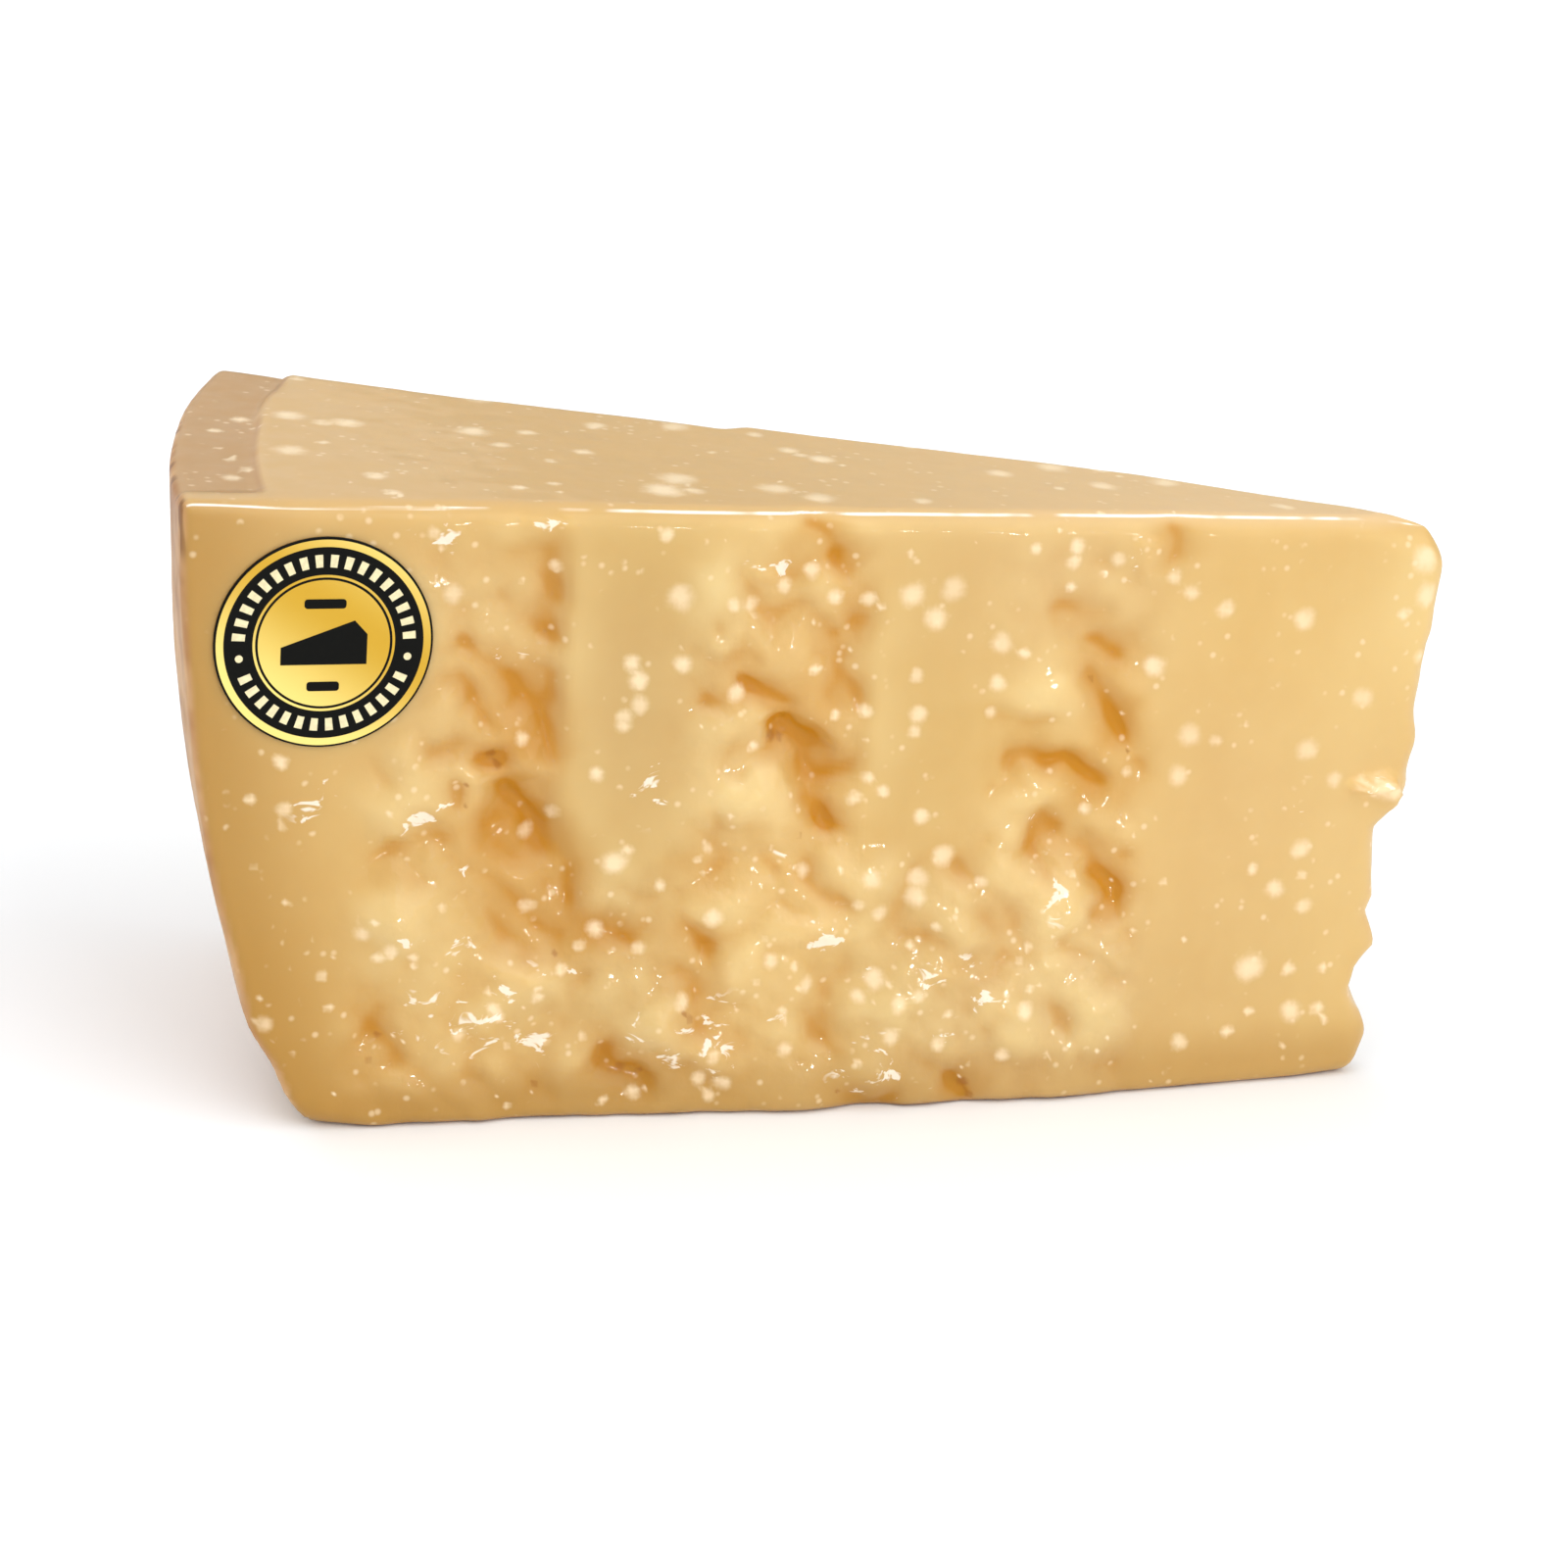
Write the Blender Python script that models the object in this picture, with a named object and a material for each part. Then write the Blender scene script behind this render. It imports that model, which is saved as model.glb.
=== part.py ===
"""A chunk of hard aged cheese: a slim wedge of half a wheel, with a round label on its front.

The wedge is the lower half of the wheel cut in sixteen. Its top is the smooth cut across the
wheel's middle, its floor is the wheel's flat rind, its rear end is the bulging side rind and
its nose is broken off blunt. The two long sides are split, not sliced: each has columns of
torn, curving hollows between smooth bands where the knife went in.

Lengths are in millimetres here and become metres when a mesh is written. The form is worked
out in the wheel's frame, with the wheel's axis upright at the origin and the chunk towards -X.
"""

import math

import bmesh
import bpy
import numpy as np

MM = 0.001
NAME = "cheese_chunk"

# Driving sizes of the wedge
WHEEL_RADIUS = 222.0
HALF_ANGLE = math.radians(11.25)
NOSE_GAP = 12.0
HEIGHT_AT_RIND = 105.0
HEIGHT_AT_NOSE = 100.5
HEEL_INSET = 18.2
HEEL_FOOT = 2.4
HEEL_FOOT_TOP = 20.0
HEEL_FOOT_HEIGHT = 11.0

# Where the wheel's axis stands from the part's origin, which is the middle of its base
AXIS_X = 117.03
AXIS_Y = 0.08

# Rounding of the edges
SIDE_EDGE = 3.5
RIND_EDGE = 2.2
TOP_EDGE = 3.6
TOP_RIND_EDGE = 2.0
TOP_NOSE_EDGE = 8.0
BASE_EDGE = 2.2
BASE_HEEL_EDGE = 10.0
BASE_NOSE_EDGE = 4.0

# The band of hard rind across the top sits a little lower than the paste beside it
STRIP_WIDTH = 13.0
STRIP_DROP = 1.0
STRIP_FRONT_MARGIN = 7.5

# The front swells gently outwards above its base
BOW_DEPTH = 4.6
BOW_CENTRE = 128.0
BOW_REACH = 60.0
BOW_TOP = 62.0

# The back stands out past its plane from a small step onwards, and runs out at the nose
BACK_STEP_V = 90.0
BACK_STEP_WIDTH = 5.0
BACK_SWELL = 3.4
BACK_SWELL_END = 192.0
BACK_SWELL_FADE = 38.0

# The broken end: how far it is set back at each height
NOSE_PROFILE = (
    (0.0, 2.6), (7.0, 2.2), (11.0, 3.0), (16.0, 5.4), (20.0, 5.2), (24.0, 2.6), (30.0, 5.2),
    (33.0, 4.2), (40.0, 4.6), (46.0, 5.0), (50.0, 2.0), (53.5, 0.0), (60.0, 0.1), (79.0, 0.6),
    (81.0, 0.1), (105.0, 0.5),
)

# The label and the flat place under it: u is along the front from the rind, z is up
LABEL_U = 22.0
LABEL_Z = 82.6
LABEL_RADIUS = 16.8
LABEL_GAP = 0.3
LABEL_THICKNESS = 0.5
LABEL_SIDES = 64
LABEL_MARGIN = 5.0

# Columns of torn cheese on the front: left end, right end and depth against the right wall
FRONT_COLUMNS = ((30.0, 60.0, 1.8), (81.0, 110.0, 2.0), (131.0, 161.5, 2.0))
BACK_COLUMNS = ((24.0, 62.0, 1.9), (82.0, 104.0, 2.2), (126.0, 163.0, 1.8))
COLUMN_FADE = 13.0
COLUMN_WALL = 1.8
DISH_CURVE = 1.6
DISH_SWELL = (0.65, 0.5, 24.0)
DISH_FOOT = (24.0, 20.0)
DISH_HEAD = (101.0, 14.0)

# Where the sides are torn: below this height nearly all along, but not beside rind or nose
BROKEN_TOP = 43.0
BROKEN_FADE = 9.0
SMOOTH_NOSE_FROM = 161.5
SMOOTH_RIND_TO = 22.0
TORN_AT_BASE = 0.35
TORN_BASE_FADE = 12.0
TORN_TOP_LOSS = 0.8
TORN_TOP_FROM = 90.0
TORN_TOP_FADE = 12.0

# Torn hollows of the front: depth, width of the gentle side, width of the steep side, path.
# Going along the path, the steep wall is on the left hand.
FRONT_HOLLOWS = (
    (1.5, 2.4, 1.2, ((56, 100), (58.5, 94), (58, 86), (59, 79))),
    (1.0, 3.0, 1.4, ((44, 81), (50, 79), (56, 76))),
    (2.2, 4.0, 1.6, ((38, 77), (45, 76), (50, 72), (55, 67.5), (60, 65))),
    (1.6, 2.6, 1.4, ((54, 78), (58, 74), (60.5, 69))),
    (0.9, 3.0, 1.6, ((36, 65), (43, 65.5), (50, 65))),
    (3.4, 2.6, 1.8, ((47, 64.5), (50.5, 63), (53, 60.5))),
    (4.8, 7.0, 2.4, ((52, 62), (56, 57), (60.5, 50.5), (64.5, 44), (66, 38))),
    (1.9, 5.0, 1.8, ((30, 46), (36, 49.5), (42, 52), (49, 51), (56, 47))),
    (1.2, 1.8, 1.2, ((44, 59), (46, 54))),
    (2.4, 5.0, 1.8, ((49, 44), (55, 41), (60, 36), (64.5, 31.5))),
    (1.6, 3.0, 1.6, ((50, 35), (55, 36.5), (61, 35))),
    (2.2, 4.0, 1.6, ((65, 37), (70, 33.5), (76, 33))),
    (1.8, 4.5, 2.4, ((30, 19), (35, 15), (38, 11))),
    (2.0, 5.0, 1.8, ((79, 29), (82.5, 24), (84.5, 18), (88, 13))),
    (1.7, 3.0, 1.4, ((80, 33.5), (86, 29.5))),
    (4.2, 3.6, 2.6, ((68, 15), (73, 10.5), (81, 6.5))),
    (1.2, 2.0, 1.0, ((78.5, 18.5), (83, 14.5))),
    (1.3, 2.6, 1.4, ((57, 7), (64.5, 6.5))),
    (1.6, 2.6, 1.6, ((97, 103), (101, 101), (103, 96))),
    (1.4, 2.6, 1.5, ((106, 97.5), (109.5, 94.5))),
    (1.7, 4.5, 1.5, ((88, 87.5), (94, 85), (101, 86.5), (105, 82.5), (109, 78))),
    (1.3, 2.4, 1.4, ((107, 91), (107.5, 86), (109.5, 81))),
    (1.0, 3.0, 1.3, ((86, 80.5), (92.5, 79))),
    (2.0, 4.0, 1.7, ((89, 72.5), (94.5, 74.5), (98, 71.5))),
    (5.2, 6.5, 2.6, ((93, 66), (99, 66.5), (104, 63.5), (110, 57.5))),
    (3.2, 3.0, 2.2, ((104, 54), (106.5, 50.5), (107, 47))),
    (2.4, 2.4, 2.0, ((101, 45), (102.5, 40.5), (108.5, 37.5))),
    (1.0, 3.5, 1.5, ((87, 48.5), (92, 50), (98, 49.5))),
    (1.0, 3.5, 2.0, ((80, 44), (86, 43))),
    (2.0, 3.4, 1.8, ((107, 27), (107, 20), (109, 11))),
    (2.2, 4.0, 2.0, ((109, 5), (115, 2), (122, 3))),
    (1.0, 4.0, 1.2, ((137, 85.5), (143, 87), (150, 85))),
    (2.2, 4.0, 1.6, ((145, 82.5), (150.5, 79.5), (156, 76))),
    (3.2, 5.0, 1.8, ((148, 76), (152.5, 72.5), (156, 68.5), (160, 64))),
    (1.1, 3.6, 1.4, ((133, 69), (140, 66), (149, 66))),
    (3.4, 5.0, 1.8, ((133, 59.5), (138, 63), (145, 61.8), (150.5, 59.5), (154.5, 56))),
    (4.4, 6.5, 2.2, ((143, 55), (147, 49.5), (153, 44.5), (158.5, 39.5), (160.5, 33))),
    (2.2, 3.5, 1.4, ((132, 37), (136, 32.5), (137, 27), (140, 24))),
    (1.7, 3.5, 1.4, ((135.5, 25), (137, 20), (140, 15))),
    (1.1, 3.0, 1.3, ((117, 28.5), (124, 31.5), (127.5, 28), (131, 24))),
    (1.5, 3.0, 2.0, ((160.5, 102), (161.5, 98), (162, 94))),
    (1.2, 2.4, 1.4, ((155, 61), (162, 59))),
    (1.2, 2.4, 1.4, ((161, 52), (161.5, 43))),
    (2.4, 2.6, 2.0, ((129, 7), (132, 3.5), (134, 0))),
    (1.2, 4.0, 1.8, ((128, 44), (134, 40.5))),
)

# Lumps of the front that stand proud: height, radius along u, radius along z, u, z
FRONT_LUMPS = (
    (1.2, 7.0, 3.0, 42.0, 70.5), (1.3, 2.6, 3.4, 47.5, 59.5), (1.6, 10.0, 8.0, 39.0, 39.0),
    (1.6, 4.0, 5.0, 59.5, 42.5), (2.0, 7.5, 5.5, 93.0, 55.0), (1.2, 4.0, 3.5, 88.0, 67.0),
    (2.2, 4.2, 4.4, 106.5, 43.5), (1.5, 6.0, 4.5, 104.0, 31.0), (1.4, 6.5, 3.0, 143.0, 71.0),
    (1.3, 7.0, 4.0, 140.0, 56.5), (2.0, 5.5, 8.0, 146.0, 37.0), (1.8, 8.0, 8.0, 152.0, 19.0),
    (2.4, 4.5, 4.0, 79.0, 14.0), (1.4, 6.0, 4.0, 57.0, 25.0), (1.2, 7.0, 5.0, 120.0, 21.0),
    (1.3, 5.0, 3.5, 118.0, 8.0),
)

# Hollows that cross are blended with this power, so that the deeper one wins
BLEND_POWER = 2.5

# Arcs torn into each column of the back, made by a rule: how many, where the highest starts and
# how far down they spread, how far one may shift, how far along it starts and stops, how far it
# drops and how it bends, and the ranges of its depth and its gentle and steep widths
BACK_ARCS = 8
BACK_SEED = 23
ARC_TOP = 96.0
ARC_SPREAD = 92.0
ARC_SHIFT = (0.2, 0.8)
ARC_START = 0.4
ARC_STOP = 3.0
ARC_DROP = (8.0, 20.0)
ARC_BEND = 1.7
ARC_STATIONS = (0.0, 0.35, 0.7, 1.0)
ARC_DEPTH = (1.2, 3.8)
ARC_GENTLE = (3.0, 6.0)
ARC_STEEP = (1.5, 2.4)

# Grain of the torn cheese: spacing of its clumps and how deep the creases between them run
CLUMPS = ((15.0, 1.5, 11), (7.5, 0.8, 12))
WARP = 1.4
WARP_SCALE = 9.0
LATTICE_SIZE = 64
LATTICE = np.random.default_rng(7).random((LATTICE_SIZE, LATTICE_SIZE))
BACK_CLUMP_SHIFT = 40.0

# Slow waves of each surface: height and spacing
FRONT_WAVE = (0.35, 38.0)
BACK_WAVE = (0.5, 30.0)
RIND_WAVE = (0.25, 16.0)
TOP_WAVE = (0.22, 34.0)
NOSE_WAVE = (0.8, 6.0)
NOSE_WAVE_SQUEEZE = 1.4

# Width of the small steps at the inner and front edges of the band on the top
STRIP_STEP = 1.2
STRIP_END = 1.5

# Where the edges change from one rounding to the next: distance from the rind, and over how far
NOSE_EDGE_FROM = 192.0
NOSE_EDGE_FADE = 16.0
TOP_RIND_REACH = 18.0
TOP_RIND_FADE = 14.0
HEEL_EDGE_REACH = 34.0
HEEL_EDGE_FADE = 24.0

# The grid that is wrapped round the form: cells along, across and up, the two thin cells at each
# end, the width that stands for the whole angle, and how deep the core that it grows from lies
CELLS = (60, 8, 28)
EDGE_CELLS = (1.3, 3.2)
ACROSS_SPAN = 80.0
CORE_DEPTH = 14.0
CORE_RIND_DEPTH = 1.3 * CORE_DEPTH
FLAT_BASE_SNAP = 0.05
OVERSHOOT = 1.7
HALVINGS = 26

# The relief is averaged over this reach, which suits the grid's cells
BLUR = 1.2
BLUR_OFFSETS = ((0.0, 0.0), (-BLUR, -BLUR), (BLUR, -BLUR), (-BLUR, BLUR), (BLUR, BLUR))


def smooth_step(value):
    """Ease from 0 to 1 as the value goes from 0 to 1."""
    value = np.clip(value, 0.0, 1.0)
    return value * value * (3.0 - 2.0 * value)


def round_min(first, second, radius):
    """Meet two inward distances in an edge of the given radius."""
    corner = np.hypot(np.maximum(radius - first, 0.0), np.maximum(radius - second, 0.0))
    return np.maximum(radius, np.minimum(first, second)) - corner


def lattice_noise(across, up, scale, shift):
    """Soft random field from -1 to 1 with the given spacing."""
    across = across / scale + 3.7 * shift
    up = up / scale + 5.3 * shift
    column = np.floor(across).astype(int)
    row = np.floor(up).astype(int)
    fx = smooth_step(across - column)
    fy = smooth_step(up - row)
    near = column % LATTICE_SIZE
    far = (column + 1) % LATTICE_SIZE
    low = row % LATTICE_SIZE
    high = (row + 1) % LATTICE_SIZE
    bottom = LATTICE[near, low] * (1 - fx) + LATTICE[far, low] * fx
    top = LATTICE[near, high] * (1 - fx) + LATTICE[far, high] * fx
    return 2.0 * (bottom * (1 - fy) + top * fy) - 1.0


def wave(across, up, size, shift):
    """Slow rise and fall of a surface, from its height and spacing."""
    height, spacing = size
    return height * lattice_noise(across, up, spacing, shift)


def clumps(across, up, spacing, seed):
    """Height from 0 to about 1 of rounded clumps packed side by side, creased where they meet."""
    across = across / spacing
    up = up / spacing
    column = np.floor(across).astype(int)
    row = np.floor(up).astype(int)
    height = np.full(across.shape, -9.0)
    for step_x in (-1, 0, 1):
        for step_y in (-1, 0, 1):
            cx = column + step_x
            cy = row + step_y
            jitter_x = LATTICE[(cx + seed) % LATTICE_SIZE, cy % LATTICE_SIZE]
            jitter_y = LATTICE[cx % LATTICE_SIZE, (cy + 2 * seed) % LATTICE_SIZE]
            tilt = LATTICE[(cx + 3 * seed) % LATTICE_SIZE, (cy + seed) % LATTICE_SIZE] - 0.5
            dx = across - cx - jitter_x
            dy = up - cy - jitter_y
            dome = 1.0 + 0.7 * tilt - 1.1 * (dx * dx + dy * dy) + 0.8 * tilt * (dx - dy)
            height = np.maximum(height, dome)
    return height


def hollow(u, z, depth, gentle, steep, path):
    """Depth of one torn hollow, steep on the left hand of its path and gentle on the right."""
    legs = [math.dist(a, b) for a, b in zip(path[:-1], path[1:])]
    total = sum(legs)
    nearest = np.full(u.shape, np.inf)
    width = np.full(u.shape, gentle)
    along = np.zeros(u.shape)
    done = 0.0
    for (u0, z0), (u1, z1), leg in zip(path[:-1], path[1:], legs):
        way_u = (u1 - u0) / leg
        way_z = (z1 - z0) / leg
        t = np.clip((u - u0) * way_u + (z - z0) * way_z, 0.0, leg)
        off_u = u - u0 - t * way_u
        off_z = z - z0 - t * way_z
        distance = np.hypot(off_u, off_z)
        side = (way_u * off_z - way_z * off_u) / np.maximum(distance, 1e-6)
        closer = distance < nearest
        nearest = np.where(closer, distance, nearest)
        width = np.where(closer, gentle + (steep - gentle) * (0.5 + 0.5 * side), width)
        along = np.where(closer, (done + t) / total, along)
        done += leg
    taper = 1.0 - 0.75 * (2.0 * along - 1.0) ** 4
    return depth * taper * np.exp(-(nearest / width) ** 1.5)


def torn_mask(u, z, columns):
    """How torn the side is: 1 in the columns and low down, 0 on the smooth bands."""
    mask = np.zeros(u.shape)
    for left, right, _ in columns:
        rise = smooth_step((u - left + 0.5 * COLUMN_FADE) / COLUMN_FADE)
        wall = smooth_step((right - u) / COLUMN_WALL + 0.5)
        mask = np.maximum(mask, rise * wall)
    low = smooth_step((BROKEN_TOP - z) / BROKEN_FADE + 0.5)
    low = low * smooth_step((SMOOTH_NOSE_FROM - u) / COLUMN_WALL + 0.5)
    mask = np.maximum(mask, low)
    mask = mask * smooth_step((u - SMOOTH_RIND_TO) / COLUMN_FADE)
    foot = TORN_AT_BASE + (1.0 - TORN_AT_BASE) * smooth_step(z / TORN_BASE_FADE)
    return mask * foot * (1.0 - TORN_TOP_LOSS * smooth_step((z - TORN_TOP_FROM) / TORN_TOP_FADE))


def column_dish(u, z, columns):
    """Each column leans inwards from its left end to the wall at its right end."""
    dish = np.zeros(u.shape)
    mean, change, spacing = DISH_SWELL
    for left, right, depth in columns:
        lean = np.clip((u - left) / (right - left), 0.0, 1.0) ** DISH_CURVE
        lean = lean * smooth_step((right - u) / COLUMN_WALL + 0.5)
        swell = mean + change * lattice_noise(u, z, spacing, right)
        dish = np.maximum(dish, depth * lean * swell)
    foot, foot_fade = DISH_FOOT
    head, head_fade = DISH_HEAD
    return dish * smooth_step((z - foot) / foot_fade) * smooth_step((head - z) / head_fade)


def hollows_depth(u, z, hollows):
    """Blend hollows so that where they cross the deeper one wins."""
    total = np.zeros(u.shape)
    for depth, gentle, steep, path in hollows:
        total += hollow(u, z, depth, gentle, steep, path) ** BLEND_POWER
    return total ** (1.0 / BLEND_POWER)


def clump_depth(u, z):
    """Creases between the clumps, as a depth that averages near zero."""
    depth = np.zeros(u.shape)
    for spacing, amount, seed in CLUMPS:
        depth += amount * (0.75 - clumps(u, z, spacing, seed))
    return depth


def label_flat(u, z):
    """0 under the label and its margin, 1 away from it."""
    distance = np.hypot(u - LABEL_U, z - LABEL_Z)
    return smooth_step((distance - LABEL_RADIUS - 1.0) / LABEL_MARGIN)


def front_depth(u, z):
    """How far the front surface lies behind its plane."""
    warped_u = u + WARP * lattice_noise(u, z, WARP_SCALE, 1)
    warped_z = z + WARP * lattice_noise(u, z, WARP_SCALE, 2)
    torn = torn_mask(u, z, FRONT_COLUMNS)
    depth = hollows_depth(warped_u, warped_z, FRONT_HOLLOWS)
    depth = depth + column_dish(u, z, FRONT_COLUMNS) + torn * clump_depth(warped_u, warped_z)
    for height, wide, tall, at_u, at_z in FRONT_LUMPS:
        reach = ((warped_u - at_u) / wide) ** 2 + ((warped_z - at_z) / tall) ** 2
        depth = depth - height * np.exp(-reach)
    bow = np.exp(-((u - BOW_CENTRE) / BOW_REACH) ** 2) * smooth_step(1.0 - z / BOW_TOP)
    depth = depth + wave(u, z, FRONT_WAVE, 3)
    return (depth - BOW_DEPTH * bow) * label_flat(u, z)


def back_hollows():
    """Torn arcs of the back, the same kind as the front's, laid out by a seeded rule."""
    rng = np.random.default_rng(BACK_SEED)
    arcs = []
    for left, right, _ in BACK_COLUMNS:
        span = right - left
        for index in range(BACK_ARCS):
            top = ARC_TOP - ARC_SPREAD * (index + rng.uniform(*ARC_SHIFT)) / BACK_ARCS
            start = left + span * rng.uniform(0.0, ARC_START)
            end = right - rng.uniform(0.0, ARC_STOP)
            drop = rng.uniform(*ARC_DROP)
            path = [(start + (end - start) * t, top - drop * t ** ARC_BEND) for t in ARC_STATIONS]
            arcs.append((rng.uniform(*ARC_DEPTH), rng.uniform(*ARC_GENTLE), rng.uniform(*ARC_STEEP), path))
    return arcs


BACK_HOLLOWS = back_hollows()


def back_depth(v, z):
    """How far the back surface lies inside its plane; v is along it from the rind."""
    warped_v = v + WARP * lattice_noise(v, z, WARP_SCALE, 5)
    warped_z = z + WARP * lattice_noise(v, z, WARP_SCALE, 6)
    torn = torn_mask(v, z, BACK_COLUMNS)
    depth = hollows_depth(warped_v, warped_z, BACK_HOLLOWS)
    depth = depth * smooth_step((v - SMOOTH_RIND_TO) / COLUMN_FADE)
    depth = depth + column_dish(v, z, BACK_COLUMNS)
    depth = depth + torn * clump_depth(warped_v, warped_z + BACK_CLUMP_SHIFT)
    swell = smooth_step((v - BACK_STEP_V) / BACK_STEP_WIDTH + 0.5)
    swell = swell * smooth_step((BACK_SWELL_END - v) / BACK_SWELL_FADE)
    return depth - BACK_SWELL * swell + wave(v, z, BACK_WAVE, 8)


def blurred(depth, along, z):
    """A side's relief, averaged so that a coarse grid keeps its forms and drops its spikes."""
    total = np.zeros(along.shape)
    for shift_along, shift_z in BLUR_OFFSETS:
        total += depth(along + shift_along, z + shift_z)
    return total / len(BLUR_OFFSETS)


def inside(x, y, z):
    """Positive inside the chunk, zero on its surface, negative outside."""
    cos_a = math.cos(HALF_ANGLE)
    sin_a = math.sin(HALF_ANGLE)
    along_front = WHEEL_RADIUS + x * cos_a + y * sin_a
    along_back = WHEEL_RADIUS + x * cos_a - y * sin_a
    behind_front = -x * sin_a + y * cos_a
    front = behind_front - blurred(front_depth, along_front, z)
    back = -x * sin_a - y * cos_a - blurred(back_depth, along_back, z)

    radius = np.hypot(x, y)
    inset = HEEL_INSET * np.clip(1.0 - z / HEIGHT_AT_RIND, 0.0, 1.0) ** 2
    inset = inset + HEEL_FOOT * smooth_step((HEEL_FOOT_TOP - z) / HEEL_FOOT_HEIGHT)
    rind = WHEEL_RADIUS - inset + wave(y, z, RIND_WAVE, 4) - radius

    heights, setbacks = zip(*NOSE_PROFILE)
    nose = -NOSE_GAP - x - np.interp(z, heights, setbacks) - wave(y * NOSE_WAVE_SQUEEZE, z, NOSE_WAVE, 9)

    slope = (HEIGHT_AT_NOSE - HEIGHT_AT_RIND) / (WHEEL_RADIUS - NOSE_GAP)
    top = HEIGHT_AT_RIND + slope * (x + WHEEL_RADIUS) - z
    strip = smooth_step((radius - WHEEL_RADIUS + STRIP_WIDTH) / STRIP_STEP + 0.5)
    strip = strip * smooth_step((behind_front - STRIP_FRONT_MARGIN) / STRIP_END + 0.5)
    top = top - STRIP_DROP * strip + wave(x, y, TOP_WAVE, 10)

    near_nose = smooth_step((along_front - NOSE_EDGE_FROM) / NOSE_EDGE_FADE)
    near_rind = smooth_step((TOP_RIND_REACH - WHEEL_RADIUS + radius) / TOP_RIND_FADE)
    top_edge = TOP_EDGE + (TOP_NOSE_EDGE - TOP_EDGE) * near_nose + (TOP_RIND_EDGE - TOP_EDGE) * near_rind
    near_heel = smooth_step((HEEL_EDGE_REACH - WHEEL_RADIUS + radius) / HEEL_EDGE_FADE)
    base_edge = BASE_EDGE + (BASE_NOSE_EDGE - BASE_EDGE) * near_nose
    base_edge = base_edge + (BASE_HEEL_EDGE - BASE_EDGE) * near_heel

    body = round_min(front, nose, SIDE_EDGE)
    body = round_min(body, back, SIDE_EDGE)
    body = round_min(body, rind, RIND_EDGE)
    body = round_min(body, top, top_edge)
    return round_min(body, z, base_edge)


def graded(cells, length):
    """Stations along one side of the grid, closer together at both ends."""
    first, second = EDGE_CELLS
    inner = np.linspace(second, length - second, cells - 3)
    return np.concatenate(([0.0, first], inner, [length - first, length]))


def grid_box(cells):
    """A cube cut into cells, as a bmesh whose vertices lie at whole numbers from the corner."""
    mesh = bmesh.new()
    bmesh.ops.create_cube(mesh, size=1.0)
    bmesh.ops.translate(mesh, verts=mesh.verts, vec=(0.5, 0.5, 0.5))
    for axis in range(3):
        along = []
        for edge in mesh.edges:
            way = edge.verts[1].co - edge.verts[0].co
            if abs(way[axis]) > 0.5:
                along.append(edge)
        bmesh.ops.subdivide_edges(mesh, edges=along, cuts=cells[axis] - 1)
    return mesh


def wrap_grid(mesh, cells):
    """Send every vertex of the grid out along its own ray until it meets the surface."""
    share = np.array([vertex.co[:] for vertex in mesh.verts])
    steps = np.rint(share * np.array(cells)).astype(int)
    along = graded(cells[0], WHEEL_RADIUS - NOSE_GAP)[steps[:, 0]]
    across = 2.0 * graded(cells[1], ACROSS_SPAN)[steps[:, 1]] / ACROSS_SPAN - 1.0
    up = graded(cells[2], HEIGHT_AT_RIND)[steps[:, 2]]

    reach = WHEEL_RADIUS - along
    hull_x = -reach * np.cos(across * HALF_ANGLE)
    hull_y = reach * np.sin(across * HALF_ANGLE)
    hull_z = up * (1.0 + (HEIGHT_AT_NOSE / HEIGHT_AT_RIND - 1.0) * along / WHEEL_RADIUS)

    core_reach = np.clip(reach, NOSE_GAP + CORE_DEPTH, WHEEL_RADIUS - CORE_RIND_DEPTH)
    half_width = np.maximum(core_reach * math.sin(HALF_ANGLE) - CORE_DEPTH, 0.0)
    core_y = np.clip(hull_y, -half_width, half_width)
    core_x = -np.sqrt(np.maximum(core_reach ** 2 - core_y ** 2, 0.0))
    core_z = np.clip(hull_z, CORE_DEPTH, HEIGHT_AT_NOSE - CORE_DEPTH)

    ray_x = hull_x - core_x
    ray_y = hull_y - core_y
    ray_z = hull_z - core_z
    low = np.zeros(len(share))
    high = np.full(len(share), OVERSHOOT)
    for _ in range(HALVINGS):
        middle = 0.5 * (low + high)
        held = inside(core_x + middle * ray_x, core_y + middle * ray_y, core_z + middle * ray_z) > 0.0
        low = np.where(held, middle, low)
        high = np.where(held, high, middle)

    place_x = core_x + low * ray_x
    place_y = core_y + low * ray_y
    place_z = core_z + low * ray_z
    place_z = np.where(place_z < FLAT_BASE_SNAP, 0.0, place_z)
    for vertex, x, y, z in zip(mesh.verts, place_x, place_y, place_z):
        vertex.co = ((x + AXIS_X) * MM, (y + AXIS_Y) * MM, z * MM)


def srgb(red, green, blue):
    """Linear colour with alpha from 8-bit display values."""
    linear = []
    for value in (red, green, blue):
        value /= 255.0
        linear.append(value / 12.92 if value <= 0.04045 else ((value + 0.055) / 1.055) ** 2.4)
    return (*linear, 1.0)


def material(name, colour, roughness, metallic=0.0):
    """A Principled material with one colour."""
    made = bpy.data.materials.new(name)
    made.use_nodes = True
    shader = made.node_tree.nodes["Principled BSDF"]
    shader.inputs["Base Color"].default_value = colour
    shader.inputs["Roughness"].default_value = roughness
    shader.inputs["Metallic"].default_value = metallic
    return made


def add_object(name, mesh, collection, look):
    """Turn a bmesh into an object of the collection with one material."""
    data = bpy.data.meshes.new(name)
    mesh.to_mesh(data)
    mesh.free()
    data.materials.append(look)
    made = bpy.data.objects.new(name, data)
    collection.objects.link(made)
    return made


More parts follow.
